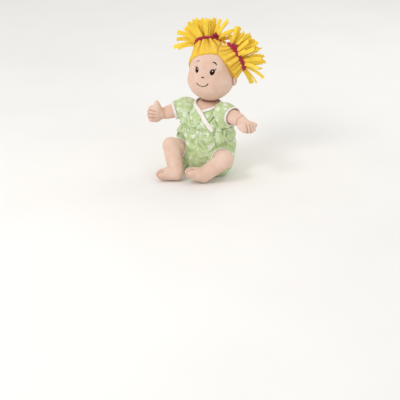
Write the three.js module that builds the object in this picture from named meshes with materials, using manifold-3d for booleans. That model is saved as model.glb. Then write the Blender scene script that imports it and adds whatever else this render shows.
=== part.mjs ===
// Soft baby doll with felt-strip pigtails and a wrap romper, sitting with its arms out to the
// sides, and with a round press-to-talk sound module in the pocket of its back. Millimetres, +Z up.
// The doll faces -Y, so its left is +X. The origin is on the floor under the middle of its seat.
import * as THREE from "three";
import Module from "manifold-3d";
import { mergeVertices } from "three/addons/utils/BufferGeometryUtils.js";

const wasm = await Module();
wasm.setup();

// ---- driving dimensions -----------------------------------------------------------------

const GAP = 0.4; // between neighbouring pieces that don't move on each other
const MOVING_GAP = 0.6; // between ball-shaped ends and their sockets
const CLOTH = 1.4; // thickness of the romper's cloth with its seam allowance
const LEAN = Math.tan(THREE.MathUtils.degToRad(9)); // the torso leans back by 9 degrees

const TORSO_DEPTH = 0.78; // the torso's depth as a share of its width
const TORSO_FLOOR = CLOTH + GAP; // the body's flat underside rests on the romper's seat
const TORSO_TOP = 141; // height at which the torso closes round the neck
// half width and height of the torso's outline, from the seat to the neck
const TORSO_OUTLINE = [
  [38, 0], [48, 8], [55, 25], [57, 47], [55, 71], [51, 92], [46, 112], [38, 127], [28, 137], [19, TORSO_TOP],
];
const WAIST = [88, 95]; // lower and upper edge of the romper's elastic waist
// the romper's outline: gathered full at the waist, close at the shoulders
const ROMPER_OUTLINE = [
  [41, 0], [51, 8], [58.5, 25], [60.5, 47], [59.5, 71], [56.5, WAIST[0]], [57, WAIST[1]], [55, 103],
  [49, 116], [41.5, 127], [31.5, 137], [22.5, TORSO_TOP],
];
const NECKLINE = { crossing: [1, 130], right: [0.7, 0.71], left: [-0.47, 0.88], band: 6.5 };

const HEAD = { at: [4, 25, 201], half: [45.5, 47, 58] }; // the stuffed head without hair
const HEAD_TURN = THREE.MathUtils.degToRad(8); // the head looks a little to the doll's left
const NECK = { radius: 12.5, ball: 15, pivot: [3, 24, 154], bottom: 123 };
const EAR = { half: [5, 7.5, 10.5], at: [46.5, 5, -13] }; // in the head's own frame

const CAP_THICKNESS = 2.6; // the felt hair cap
const PARTING = { x: 18, across: [1, 0.16, 0] }; // to the doll's left of the middle, running back
// the cap's edge lies in one plane on each side of the parting: its upward normal, and its
// distance from the head's centre along it
const HAIRLINE = { left: [[0.501, 0.662, 0.557], 19.5], right: [[-0.2, 0.658, 0.726], 10.9] };
const TIE = { reach: { left: 58, right: 62 }, ring: 26, cord: 3 }; // the hair bands, measured from the head's centre
const TAIL = { core: 9, width: 8, thick: 2.6, length: 52 };
const TAIL_AXES = { left: [0.75, 0.4, 0.52], right: [-0.32, 0.5, 0.8] };

const SHOULDER = { x: 41, y: 9, z: 127, ball: 16.5, clear: 20.8 };
const ARM_WRIST = 13; // radius
const SLEEVE = { length: 29, shoulder: 20.1, cuff: 20.2, band: 5 };

const HIP = { x: 30, y: 2, z: 30, ball: 21.5, clear: 27.2 };
const LEG = { knee: 18, calf: 17.2, ankle: 15 }; // radii
const SHORTS = { length: 34, hip: 26.4, hem: 24.6, band: 4.5 };

// where the limbs lie at rest
const POSE = {
  left: { wrist: [90, -12, 123], hand: [106, -18, 115], across: [-0.2, 1, 0.2],
    knee: [70, -40, 48], ankle: [34, -62, 16], toes: [15, -82, 24] },
  right: { wrist: [-84, -15, 112], hand: [-95, -28, 115.5], across: [-0.25, -0.2, 1],
    knee: [-46, -50, 60], ankle: [-19, -76, 16], toes: [-43, -94, 14] },
};
const HAND = { half: [10.5, 18.5, 20], thumb: [7, 5.5, 15] }; // palm's half sizes; thumb radii, length
const FOOT = { heel: 15.4, toe: 11.5 };
// how far the hips and shoulders swing from rest, in degrees, for the room cut round them
const ROOM = { hipUp: 12, hipDown: 30, kneeIn: 8, armUp: 40, armDown: 16, armSwing: 22 };

// the sound module, a round press-to-talk unit whose axis lies along Y
const MODULE = { at: [0, 33.5, 76], radius: 21, depth: 26, wall: 1.6 };
const BUTTON = { radius: 9, proud: 2.6, flange: 11, travel: 1.6 };
const CELL = { radius: 5.8, thick: 5.4, count: 3 }; // the alkaline button cells
const POCKET = { radius: MODULE.radius + 2.4, front: 0.6 };

// ---- materials --------------------------------------------------------------------------

const surface = (color, roughness, metalness = 0) =>
  new THREE.MeshStandardMaterial({ color, roughness, metalness });
const SKIN = surface(0xe6c4aa, 0.95);
const HAIR = surface(0xf0c84f, 0.9);
const FELT = surface(0xf2bd33, 0.9);
const BAND = surface(0xb81f55, 0.8);
const PRINT = surface(0xc6dba2, 0.9);
const TRIM = surface(0xf1eeea, 0.9);
const HOOK_AND_LOOP = surface(0xe8e6e0, 0.95);
const PLASTIC = surface(0xe9e9e6, 0.45);
const RED_PLASTIC = surface(0xc9332e, 0.4);
const BOARD = surface(0x2f6b3c, 0.6);
const STEEL = surface(0xbfc2c4, 0.3, 1);
const DARK = surface(0x2c2c2e, 0.7);

// ---- solids -----------------------------------------------------------------------------

const vector = (a) => new THREE.Vector3(...a);

/** A closed geometry as a manifold-3d solid, placed by a matrix. */
function solid(geometry, matrix = new THREE.Matrix4()) {
  const bare = geometry.clone().applyMatrix4(matrix);
  bare.deleteAttribute("normal");
  bare.deleteAttribute("uv");
  const merged = mergeVertices(bare, 1e-4);
  return new wasm.Manifold(
    new wasm.Mesh({
      numProp: 3,
      vertProperties: merged.attributes.position.array,
      triVerts: new Uint32Array(merged.index.array),
    }),
  );
}

/** A solid back as a three.js geometry. */
function geometryOf(made) {
  const mesh = made.getMesh();
  const g = new THREE.BufferGeometry();
  g.setAttribute("position", new THREE.BufferAttribute(new Float32Array(mesh.vertProperties), 3));
  g.setIndex(new THREE.BufferAttribute(new Uint32Array(mesh.triVerts), 1));
  g.computeVertexNormals();
  return g;
}

/** The matrix that stands +Y along a direction at a point; +Z turns towards a second direction. */
function along(at, direction, towards) {
  const y = direction.clone().normalize();
  const hint = towards ?? (Math.abs(y.z) < 0.9 ? new THREE.Vector3(0, 0, 1) : new THREE.Vector3(1, 0, 0));
  const x = y.clone().cross(hint).normalize();
  return new THREE.Matrix4().makeBasis(x, y, x.clone().cross(y)).setPosition(at);
}

/** An ellipsoid, or a ball when one radius is given. */
function ball(at, half, detail = 16, frame = new THREE.Matrix4()) {
  const size = typeof half === "number" ? [half, half, half] : half;
  const place = new THREE.Matrix4().makeTranslation(...at)
    .multiply(new THREE.Matrix4().makeScale(...size))
    .multiply(new THREE.Matrix4().makeRotationX(Math.PI / 2));
  return solid(new THREE.SphereGeometry(1, detail, Math.round(detail * 0.6)), frame.clone().multiply(place));
}

/** A solid of revolution about an axis through a point, from [radius, height] pairs. */
function turned(at, axis, profile, detail = 20) {
  const points = profile.map(([radius, height]) => new THREE.Vector2(radius, height));
  return solid(new THREE.LatheGeometry(points, detail), along(vector(at), vector(axis)));
}

/** A round bar between two points, with flat ends. */
function rod(from, to, radius, detail = 20, radiusTo = radius) {
  const axis = vector(to).sub(vector(from));
  return turned(from, axis.toArray(), [[0, 0], [radius, 0], [radiusTo, axis.length()], [0, axis.length()]], detail);
}

/** A flat ring round an axis. */
const ring = (at, axis, inner, outer, from, to, detail = 20) =>
  turned(at, axis, [[inner, from], [outer, from], [outer, to], [inner, to], [inner, from]], detail);

/** A tapered limb with round ends, from a ball at one point to a ball at the other. */
function limb(from, to, radiusFrom, radiusTo, detail = 14) {
  const axis = vector(to).sub(vector(from)), length = axis.length();
  const lean = Math.asin((radiusFrom - radiusTo) / length); // where the straight side leaves each ball
  const arc = 4, profile = [];
  for (let i = 0; i <= arc; i++) {
    const t = -Math.PI / 2 + (Math.PI / 2 + lean) * (i / arc);
    profile.push([i ? radiusFrom * Math.cos(t) : 0, radiusFrom * Math.sin(t)]);
  }
  for (let i = 0; i <= arc; i++) {
    const t = lean + (Math.PI / 2 - lean) * (i / arc);
    profile.push([i < arc ? radiusTo * Math.cos(t) : 0, length + radiusTo * Math.sin(t)]);
  }
  return turned(from, axis.toArray(), profile, detail);
}

/** Everything on the far side of a plane from its normal, as a large block. */
function behindPlane(point, normal, size = 400) {
  const g = new THREE.BoxGeometry(size, size, size).translate(0, -size / 2, 0);
  return solid(g, along(vector(point), vector(normal)));
}

/** A box between two corners. */
function block(low, high) {
  const size = high.map((h, i) => h - low[i]), middle = high.map((h, i) => (h + low[i]) / 2);
  return solid(new THREE.BoxGeometry(...size), new THREE.Matrix4().makeTranslation(...middle));
}

/** The part of a solid between two distances from a point, along the line to another. */
function slice(made, from, to, near, far) {
  const axis = vector(to).sub(vector(from)).normalize();
  const at = (distance) => vector(from).addScaledVector(axis, distance).toArray();
  const cut = made.intersect(behindPlane(at(far), axis.toArray()));
  return near === null ? cut : cut.subtract(behindPlane(at(near), axis.toArray()));
}

/** A solid turned about an axis through a point. */
function turn(made, pivot, axis, degrees) {
  const q = new THREE.Matrix4().makeRotationAxis(vector(axis).normalize(), THREE.MathUtils.degToRad(degrees));
  const m = new THREE.Matrix4().makeTranslation(...pivot).multiply(q)
    .multiply(new THREE.Matrix4().makeTranslation(...pivot.map((p) => -p)));
  return made.transform(m.elements);
}

const model = new THREE.Group();

/** Adds a solid to the model as a named mesh. */
function add(name, made, material) {
  const mesh = new THREE.Mesh(geometryOf(made), material);
  mesh.name = name;
  model.add(mesh);
}

// ---- torso and its coverings ------------------------------------------------------------

const leanBack = new THREE.Matrix4().set(1, 0, 0, 0, 0, 1, LEAN, 0, 0, 0, 1, 0, 0, 0, 0, 1);

/** The leaning solid inside an outline swollen by a margin, between two heights. */
function trunk(outline, margin, low, high, detail = 22) {
  const widthAt = (z) => {
    const i = Math.min(Math.max(outline.findIndex((p) => p[1] >= z), 1), outline.length - 1);
    const [p, q] = [outline[i - 1], outline[i]];
    return p[0] + ((q[0] - p[0]) * (z - p[1])) / (q[1] - p[1]) + margin;
  };
  const between = outline.map((p) => p[1]).filter((z) => z > low + 0.5 && z < high - 0.5);
  const heights = [low, ...between, high];
  const profile = [[0, low], ...heights.map((z) => [widthAt(z), z]), [0, high]];
  const upright = new THREE.Matrix4().makeRotationX(Math.PI / 2);
  const flat = new THREE.Matrix4().makeScale(1, TORSO_DEPTH, 1);
  const points = profile.map(([r, z]) => new THREE.Vector2(r, z));
  return solid(new THREE.LatheGeometry(points, detail), leanBack.clone().multiply(flat).multiply(upright));
}

/** A layer of cloth inside the romper's outline, offset from it, between two heights. */
const layer = (inner, outer, low, high) =>
  trunk(ROMPER_OUTLINE, outer, low, high).subtract(trunk(ROMPER_OUTLINE, inner, low - 1, high + 1));

const sides = { left: 1, right: -1 };
const shoulder = (side) => [sides[side] * SHOULDER.x, SHOULDER.y, SHOULDER.z];
const hip = (side) => [sides[side] * HIP.x, HIP.y, HIP.z];

const lerp = (from, to, distance) => {
  const a = vector(from), b = vector(to);
  return a.lerp(b, distance / a.distanceTo(b)).toArray();
};
const hull = (solids) => wasm.Manifold.hull(solids);

/** The room that one leg needs to swing up and down in the front of the body. */
function legRoom(side) {
  const root = hip(side), { knee } = POSE[side];
  const hem = ball(lerp(root, knee, SHORTS.length), SHORTS.hem + 1.4, 14);
  const end = ball(knee, LEG.knee + 1.2, 12);
  const swung = (made) => [-ROOM.hipDown, -10, ROOM.hipUp].map((lift) => turn(made, root, [-1, 0, 0], lift));
  return hull([ball(root, HIP.clear, 18), ...swung(hem), ...swung(end)]);
}

/** The room that one arm's sleeve needs round the shoulder. */
function armRoom(side) {
  const root = shoulder(side), cuff = ball(lerp(root, POSE[side].wrist, SLEEVE.length), SLEEVE.cuff + 1.2, 12);
  const placed = [];
  for (const up of [-ROOM.armDown, ROOM.armUp])
    for (const swing of [-ROOM.armSwing, ROOM.armSwing])
      placed.push(turn(turn(cuff, root, [0, -sides[side], 0], up), root, [0, 0, 1], swing));
  return hull([ball(root, SHOULDER.clear, 18), ...placed]);
}

const legRooms = legRoom("left").add(legRoom("right"));
const armRooms = armRoom("left").add(armRoom("right"));
const neckHole = rod([NECK.pivot[0], NECK.pivot[1], NECK.bottom - GAP], [NECK.pivot[0], NECK.pivot[1], 200],
  NECK.radius + MOVING_GAP, 20);
const moduleFront = MODULE.at[1] - MODULE.depth / 2;
const pocket = rod([0, moduleFront - BUTTON.proud - POCKET.front, MODULE.at[2]], [0, 95, MODULE.at[2]],
  POCKET.radius, 24);

add("torso", trunk(TORSO_OUTLINE, 0, TORSO_FLOOR, TORSO_TOP)
  .subtract(armRooms).subtract(legRooms).subtract(neckHole).subtract(pocket), SKIN);

/** The flap over the pocket, with the hook-and-loop strips that hold it shut. */
function pocketClosure() {
  const disc = rod([0, 20, MODULE.at[2]], [0, 95, MODULE.at[2]], POCKET.radius - GAP, 24);
  const shell = (inner, outer) =>
    trunk(TORSO_OUTLINE, outer, 40, 112).subtract(trunk(TORSO_OUTLINE, inner, 39, 113)).intersect(disc);
  const strip = block([-14, 0, MODULE.at[2] + 8], [14, 95, MODULE.at[2] + 24]);
  add("pocket_flap", shell(-1.7, -0.2), SKIN);
  add("pocket_loop_strip", shell(-3.3, -2.1).intersect(strip), HOOK_AND_LOOP);
  add("pocket_hook_strip", shell(-4.9, -3.7).intersect(strip), HOOK_AND_LOOP);
}
pocketClosure();

function romper() {
  const top = TORSO_TOP - 3;
  const opening = ball([0, LEAN * 150 - 6, 152], [25, 24, 24], 20);
  const shaped = (made) => made.subtract(armRooms).subtract(opening);
  const front = block([-70, -90, 0], [70, 2, 200]);
  const low = WAIST[1] + GAP;
  const [cx, cz] = NECKLINE.crossing;
  // the region below a neckline edge that is shifted up from the crossing by a distance
  const below = ([nx, nz], shift) => behindPlane([cx + nx * shift, 0, cz + nz * shift], [nx, 0, nz]);

  add("romper_bodice", shaped(layer(-CLOTH, 0, low, top)), PRINT);
  const sheet = shaped(layer(GAP, GAP + CLOTH, low, top)).intersect(front);
  add("romper_wrap_panel", sheet.intersect(below(NECKLINE.right, 0)), PRINT);
  const rightBand = below(NECKLINE.right, NECKLINE.band).subtract(below(NECKLINE.right, GAP));
  add("wrap_binding_right", sheet.intersect(rightBand), TRIM);
  const leftBand = below(NECKLINE.left, NECKLINE.band).subtract(below(NECKLINE.left, 0))
    .subtract(below(NECKLINE.right, NECKLINE.band + GAP));
  add("wrap_binding_left", sheet.intersect(leftBand), TRIM);

  const casing = trunk(ROMPER_OUTLINE, 0.6, ...WAIST).subtract(trunk(TORSO_OUTLINE, GAP, WAIST[0] - 1, WAIST[1] + 1));
  add("waist_elastic_casing", casing, PRINT);
  const seat = trunk(ROMPER_OUTLINE, 0, 0, WAIST[0] - GAP)
    .subtract(trunk(ROMPER_OUTLINE, -CLOTH, CLOTH, WAIST[0] + 1)).subtract(legRooms);
  add("romper_seat", seat, PRINT);
}
romper();

// ---- sound module -----------------------------------------------------------------------

function soundModule() {
  const [x, y, z] = MODULE.at, { radius, wall } = MODULE;
  const front = moduleFront, back = y + MODULE.depth / 2, split = y - 1;
  const disc = (r, from, to, dz = 0, detail = 20) => rod([x, from, z + dz], [x, to, z + dz], r, detail);
  const box = (half, from, to, dz = 0) =>
    block([x - half[0], from, z + dz - half[1]], [x + half[0], to, z + dz + half[1]]);

  // front half of the case: a cup with the button's hole
  add("module_case_front", disc(radius, front, split).subtract(disc(radius - wall, front + wall, split + 1))
    .subtract(disc(BUTTON.radius + 0.5, front - 1, front + wall + 1)), PLASTIC);

  // back half: the speaker's sound holes above, the battery well below
  const well = [10.2, CELL.radius + 0.4], wellAt = -9.4; // half sizes, and how far below the middle
  const wellFloor = back - 13.4;
  let rear = disc(radius, split + GAP, back).subtract(disc(radius - wall, split, back - wall));
  rear = rear.add(box([well[0] + 1.2, well[1] + 1.2], wellFloor - 1, back - 0.5, wellAt)
    .intersect(disc(radius - wall - GAP, wellFloor - 2, back)));
  rear = rear.subtract(box(well, wellFloor, back + 1, wellAt));
  for (let i = 0; i < 6; i++) {
    const t = (i / 6) * Math.PI * 2;
    const hole = [x + 4.6 * Math.cos(t), z + 9 + 4.6 * Math.sin(t)];
    rear = rear.subtract(rod([hole[0], back - wall - 1, hole[1]], [hole[0], back + 1, hole[1]], 1.1, 8));
  }
  rear = rear.subtract(block([x + 12.9, back - wall - 1, z - 2.8], [x + 15.9, back + 1, z + 2.8]));
  add("module_case_back", rear, PLASTIC);

  // the button, its spring, and the switch on the board that it presses
  const flange = front + wall + GAP, board = split - 2.2; // front faces
  const tact = board - 1.4;
  add("press_button", disc(BUTTON.radius, front - BUTTON.proud, flange + 0.5)
    .add(disc(BUTTON.flange, flange, flange + 1.2))
    .add(disc(2, flange + 1, tact - BUTTON.travel - 0.2)), RED_PLASTIC);
  const springFrom = flange + 1.2 + BUTTON.travel + 0.2;
  add("button_spring", ring([x, springFrom, z], [0, 1, 0], 4.6, 5.8, 0, board - 0.3 - springFrom, 16), STEEL);
  add("circuit_board", disc(radius - wall - GAP, board, board + 1.2), BOARD);
  add("tact_switch", box([2.6, 2.6], tact, board - 0.3), DARK);
  add("speaker", disc(8.6, board + 1.6, board + 5, 9).intersect(disc(radius - wall - GAP, front, back))
    .add(disc(6.4, board + 4, back - wall - 0.4, 9)), DARK);

  // the button cells stand on edge in the well, with a contact plate at either end
  const cellAxis = back - 1.6 - CELL.radius - 0.2, step = CELL.thick + 0.3;
  for (let i = 0; i < CELL.count; i++) {
    const from = x + (i - CELL.count / 2) * step + 0.15;
    add(`button_cell_${i + 1}`,
      rod([from, cellAxis, z + wellAt], [from + CELL.thick, cellAxis, z + wellAt], CELL.radius, 14), STEEL);
  }
  const plate = (from) =>
    block([from, wellFloor + 0.4, z + wellAt - 4], [from + 0.7, back - 1.7, z + wellAt + 4]);
  add("battery_contact_negative", plate(x - 9.8), STEEL);
  add("battery_contact_positive", plate(x + 9.1), STEEL);
  add("battery_door", box([well[0] - GAP, well[1] - GAP], back - 1.2, back, wellAt)
    .subtract(rod([x, back - 2, z + wellAt], [x, back + 1, z + wellAt], 1.5, 12)), PLASTIC);
  add("battery_door_screw", turned([x, back, z + wellAt], [0, 1, 0],
    [[0, -1.25], [1.1, -1.25], [1.1, 0.2], [2.2, 0.35], [1.6, 1.1], [0, 1.1]], 12), STEEL);
  add("power_switch", block([x + 13.4, back - wall - 1.6, z - 1.2], [x + 15.4, back + 1, z + 0.8])
    .add(block([x + 12.4, back - wall - 2.2, z - 3.4], [x + 16.4, back - wall - 0.35, z + 2.6])), DARK);
}
soundModule();

// ---- head -------------------------------------------------------------------------------

const headFrame = new THREE.Matrix4().makeTranslation(...HEAD.at)
  .multiply(new THREE.Matrix4().makeRotationZ(HEAD_TURN));
const inHead = (p) => vector(p).applyMatrix4(headFrame).toArray();
const headDirection = (p) => vector(p).normalize().transformDirection(headFrame);

/** The head's shape swollen by a margin: an egg with full cheeks. */
function skull(margin, detail = 22) {
  const [a, b, c] = HEAD.half.map((h) => h + margin);
  return ball([0, 0, 0], [a * 0.985, b, c], detail, headFrame)
    .add(ball([0, -2.5, -13], [a, b * 0.975, c * 0.72], detail, headFrame));
}

function earShape(side, margin) {
  const [ex, ey, ez] = EAR.at;
  return ball([sides[side] * ex, ey, ez], EAR.half.map((h) => h + margin), 12, headFrame);
}

function head() {
  const [px, py, pz] = NECK.pivot;
  const profile = [[0, NECK.bottom - pz], [NECK.radius, NECK.bottom - pz]];
  const steps = 6, first = -Math.acos(NECK.radius / NECK.ball);
  for (let i = 0; i <= steps; i++) {
    const t = first + (Math.PI / 2 - first) * (i / steps);
    profile.push([i < steps ? NECK.ball * Math.cos(t) : 0, NECK.ball * Math.sin(t)]);
  }
  add("neck", turned([px, py, pz], [0, 0, 1], profile), SKIN);
  const mouth = turned(NECK.pivot, [0, 0, -1], [[0, 5], [NECK.radius + 1.6, 5], [21, 22], [0, 22]]);
  add("head", skull(0).subtract(ball(NECK.pivot, NECK.ball + 0.9, 20)).subtract(mouth), SKIN);
  for (const side of Object.keys(sides)) add(`ear_${side}`, earShape(side, 0).subtract(skull(GAP)), SKIN);
}
head();

const tieCentre = (side) => inHead(vector(TAIL_AXES[side]).setLength(TIE.reach[side]).toArray());
const tieAxis = (side) => headDirection(TAIL_AXES[side]);

function hair() {
  // below each hairline plane the head is bare: the face, the sides and the neck
  const bare = Object.fromEntries(Object.keys(sides).map((side) => {
    const [normal, distance] = HAIRLINE[side], n = vector(normal).normalize();
    return [side, behindPlane(inHead(n.clone().multiplyScalar(distance).toArray()), headDirection(normal).toArray())];
  }));
  let cap = skull(GAP + CAP_THICKNESS);
  for (const side of Object.keys(sides)) {
    const at = vector(tieCentre(side)), axis = tieAxis(side);
    const from = at.clone().addScaledVector(axis, -24).toArray();
    cap = cap.add(rod(from, at.clone().addScaledVector(axis, -TIE.cord - GAP).toArray(), 36, 20, TIE.ring + 1));
  }
  cap = cap.subtract(skull(GAP));
  for (const side of Object.keys(sides)) {
    const at = tieCentre(side), axis = tieAxis(side).toArray();
    // gathered neck of the cap that the band grips, with a hollow for the roots of the strips
    const grip = rod(vector(at).addScaledVector(vector(axis), -8).toArray(),
      vector(at).addScaledVector(vector(axis), TIE.cord - 1.2).toArray(), TIE.ring - TIE.cord - GAP, 20);
    cap = cap.add(grip).subtract(ball(at, TAIL.core + MOVING_GAP, 14))
      .subtract(rod(at, vector(at).addScaledVector(vector(axis), 20).toArray(), TAIL.core + 3, 14, 40));
    const section = [];
    for (let i = 0; i < 8; i++) {
      const t = (i / 8) * Math.PI * 2;
      section.push([TIE.ring + (TIE.cord - 0.1) * Math.cos(t), TIE.cord * Math.sin(t)]);
    }
    add(`hair_tie_${side}`, turned(at, axis, [...section, section[0]], 20), BAND);
  }
  cap = cap.subtract(skull(GAP));
  for (const side of Object.keys(sides)) cap = cap.subtract(earShape(side, GAP));
  const rightOf = (shift) =>
    behindPlane(inHead([PARTING.x + shift, 0, 0]), headDirection(PARTING.across).toArray());
  add("hair_cap_right", cap.intersect(rightOf(-GAP / 2)).subtract(bare.right), HAIR);
  add("hair_cap_left", cap.subtract(rightOf(GAP / 2)).subtract(bare.left), HAIR);
}
hair();

/** A bunch of felt strips that fans out from the middle of its band. */
function pigtail(side) {
  const at = tieCentre(side), axis = tieAxis(side);
  let bunch = ball(at, TAIL.core, 10);
  const rings = [[8, 2, 1], [35, 6, 0.98], [62, 8, 0.88]]; // tilt from the axis, strips, share of length
  for (const [tilt, count, share] of rings) {
    for (let i = 0; i < count; i++) {
      const place = along(vector(at), axis)
        .multiply(new THREE.Matrix4().makeRotationY((i / count) * Math.PI * 2 + tilt))
        .multiply(new THREE.Matrix4().makeRotationX(THREE.MathUtils.degToRad(tilt)));
      const long = TAIL.length * share;
      bunch = bunch.add(solid(new THREE.BoxGeometry(TAIL.width, long, TAIL.thick).translate(0, long / 2 + 2, 0), place));
    }
  }
  add(`pigtail_${side}`, bunch, FELT);
}

// ---- limbs ------------------------------------------------------------------------------

/** The sewn ring that holds a limb's ball in its socket, close to the ball's inner end. */
function seam(name, root, side, ballRadius, [inner, outer, thick]) {
  const near = Math.sqrt((ballRadius + GAP) ** 2 - inner ** 2);
  add(name, ring(root, [-sides[side], 0, 0], inner, outer, near, near + thick), TRIM);
}

function arm(side) {
  const root = shoulder(side), { wrist, hand, across } = POSE[side], inward = vector([-sides[side], 0, 0]);
  seam(`arm_seam_${side}`, root, side, SHOULDER.ball, [5, 8.5, 1.6]);
  add(`arm_${side}`, limb(root, wrist, SHOULDER.ball, ARM_WRIST), SKIN);

  // the sleeve is round over the shoulder, then a tube, open at both ends
  const hollow = limb(root, wrist, SHOULDER.ball + GAP, ARM_WRIST + 4.6);
  const open = rod(root, vector(root).addScaledVector(inward, 40).toArray(), SLEEVE.shoulder - 0.9);
  const far = lerp(root, wrist, SLEEVE.length);
  const tube = (margin) => limb(root, far, SLEEVE.shoulder + margin, SLEEVE.cuff + margin).subtract(hollow);
  const edge = SLEEVE.length - SLEEVE.band;
  add(`sleeve_${side}`, slice(tube(0), root, wrist, null, edge).subtract(open), PRINT);
  add(`sleeve_cuff_${side}`, slice(tube(0.4), root, wrist, edge + GAP, SLEEVE.length), TRIM);

  // the hand is a padded mitten with a thumb, hollowed round the wrist's ball
  const reach = vector(hand).sub(vector(wrist)).normalize();
  const frame = along(vector(hand), reach, vector(across));
  const [thumbRoot, thumbTip, thumbLength] = HAND.thumb;
  const from = vector([0, -4, 6]).applyMatrix4(frame).toArray();
  const to = vector([0, -4 + thumbLength * 0.35, 6 + thumbLength]).applyMatrix4(frame).toArray();
  const palm = ball([0, 0, 0], HAND.half, 16, frame).add(limb(from, to, thumbRoot, thumbTip, 10));
  const room = turned(wrist, reach.clone().negate().toArray(), [[0, -1.5], [32, -17], [32, 60], [0, 60]], 14);
  add(`hand_${side}`, palm.subtract(ball(wrist, ARM_WRIST + MOVING_GAP, 18)).subtract(room), SKIN);
}

function leg(side) {
  const root = hip(side), { knee, ankle, toes } = POSE[side], inward = vector([-sides[side], 0, 0]);
  seam(`leg_seam_${side}`, root, side, HIP.ball, [6.5, 10.5, 2]);
  add(`thigh_${side}`, limb(root, knee, HIP.ball, LEG.knee), SKIN);

  const hollow = limb(root, knee, HIP.ball + GAP + 1.2, LEG.knee + 3.4);
  const open = rod(root, vector(root).addScaledVector(inward, 40).toArray(), 22);
  const far = lerp(root, knee, SHORTS.length);
  const tube = (margin) => limb(root, far, SHORTS.hip + margin, SHORTS.hem + margin).subtract(hollow);
  const edge = SHORTS.length - SHORTS.band;
  add(`shorts_leg_${side}`, slice(tube(0), root, knee, null, edge).subtract(open), PRINT);
  add(`shorts_hem_${side}`, slice(tube(0.3), root, knee, edge + GAP, SHORTS.length), TRIM);

  // lower leg and foot in one, with room on the inner side of the knee for it to bend
  const calf = limb(knee, ankle, LEG.calf, LEG.ankle).add(limb(ankle, toes, FOOT.heel, FOOT.toe));
  const axis = vector(root).sub(vector(knee)).cross(vector(ankle).sub(vector(knee))).toArray();
  const thigh = limb(root, knee, HIP.ball + 1, LEG.knee + MOVING_GAP, 14);
  const bend = hull([thigh, turn(thigh, knee, axis, ROOM.kneeIn)]);
  add(`lower_leg_${side}`, calf.subtract(bend), SKIN);
}

for (const side of Object.keys(sides)) {
  pigtail(side);
  arm(side);
  leg(side);
}

export default model;
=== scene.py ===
import math

import bmesh
import bpy
import numpy as np
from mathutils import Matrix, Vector


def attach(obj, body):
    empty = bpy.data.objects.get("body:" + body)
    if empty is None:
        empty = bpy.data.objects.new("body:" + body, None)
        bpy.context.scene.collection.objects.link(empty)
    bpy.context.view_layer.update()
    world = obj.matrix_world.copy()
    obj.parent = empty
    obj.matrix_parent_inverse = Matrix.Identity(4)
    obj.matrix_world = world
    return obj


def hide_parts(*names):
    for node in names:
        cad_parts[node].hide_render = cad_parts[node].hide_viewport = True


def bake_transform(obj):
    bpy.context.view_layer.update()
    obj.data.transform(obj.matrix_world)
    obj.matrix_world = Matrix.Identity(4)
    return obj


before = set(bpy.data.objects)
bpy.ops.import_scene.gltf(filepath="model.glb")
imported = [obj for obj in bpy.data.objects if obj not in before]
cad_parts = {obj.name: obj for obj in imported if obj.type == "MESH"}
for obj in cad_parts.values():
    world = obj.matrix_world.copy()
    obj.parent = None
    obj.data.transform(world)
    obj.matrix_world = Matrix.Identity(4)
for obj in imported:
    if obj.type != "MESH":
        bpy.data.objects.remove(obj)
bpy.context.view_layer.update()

MM = 0.001
scene = bpy.context.scene
scene.view_settings.view_transform = "Standard"
SIDES = {"left": 1, "right": -1}  # the doll's own left is at positive x

# ---- driving dimensions, in millimetres ---------------------------------------------------

LEAN = math.tan(math.radians(9))
DEPTH = 0.78  # the trunk's depth as a share of its width
ROMPER_OUTLINE = [(41, 0), (51, 8), (58.5, 25), (60.5, 47), (59.5, 71), (56.5, 88), (57, 95), (55, 103),
                  (49, 116), (41.5, 127), (31.5, 137), (24, 141), (19.5, 144)]
WAIST = (88, 95)  # heights of the casing's two edges
COLLAR = 143.5  # height of the romper's top
WRAP_HALF = 1.72  # how far the wrap reaches round to each side, as a turn
NECKBAND = {"right": 8.2, "left": 6.0}  # widths of the bindings
# turns about the trunk (0 is the middle of the front) and heights that the two bindings run through
NECKLINES = {
    "right": [(0.6, 95), (0.32, 112), (0.02, 129), (-0.5, 136.5), (-1.2, 140.6), (-2.1, 141), (-3.2, 140.5)],
    "left": [(-0.1, 126), (0.12, 129.5), (0.6, 135), (1.2, 140), (2.1, 141), (3.2, 140.5)],
}

FELT = 1.3  # thicknesses
CLOTH = 1.1
SLEEVE_CLOTH = 1.0

HEAD_AT = np.array([4, 25, 201.0])  # the head's centre
HEAD_HALF = (45.5, 47, 58)
HEAD_TURN = math.radians(8)
NECK = (3, 24)  # where the neck stands
EAR = {"half": (5.5, 8.5, 11), "left": (47, 4, -13.5), "right": (-45.5, 9, -13.5)}
CAP = 2.8  # how far the felt caps stand off the skull
PARTING = (18, (1, 0.16, 0))  # where the parting plane crosses x, and the plane's normal
# the normal of the plane that each cap ends at over the face, and its distance from the head's centre
HAIRLINE = {"left": ((0.501, 0.662, 0.557), 19.5), "right": ((-0.2, 0.658, 0.726), 10.9)}
# how far each band lies from the head's centre, its radius, and how thick it is
TIE = {"reach": {"left": 58, "right": 62}, "ring": {"left": 29, "right": 25}, "cord": {"left": 3.4, "right": 2.7}}
# the side of each band that faces forwards is pushed out along the tail by the hair under it
BULGE = {"left": ((0.35, -1, 0.1), 5.0), "right": ((0, -1, -0.3), 2.0)}
TAIL_AXES = {"left": (0.75, 0.4, 0.52), "right": (-0.32, 0.5, 0.8)}

# centres of the joints, the radius of each stuffed ball, and of the opening that the romper leaves round it
SHOULDER = {"x": 41, "y": 9, "z": 127, "ball": 16.5, "clear": 20.8}
WRIST = 13
SLEEVE = {"length": 29, "cuff": 18.6, "band": 5}
HIP = {"x": 30, "y": 2, "z": 30, "ball": 21.5, "clear": 27.2}
LEG = {"knee": 18, "calf": 17.2, "ankle": 15}
SHORTS = {"length": 40, "hem": 21.2, "band": 4.5}
FOOT = {"heel": 15.4, "toe": 11.5}
HAND_HALF = (10.5, 18.5, 20)
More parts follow.
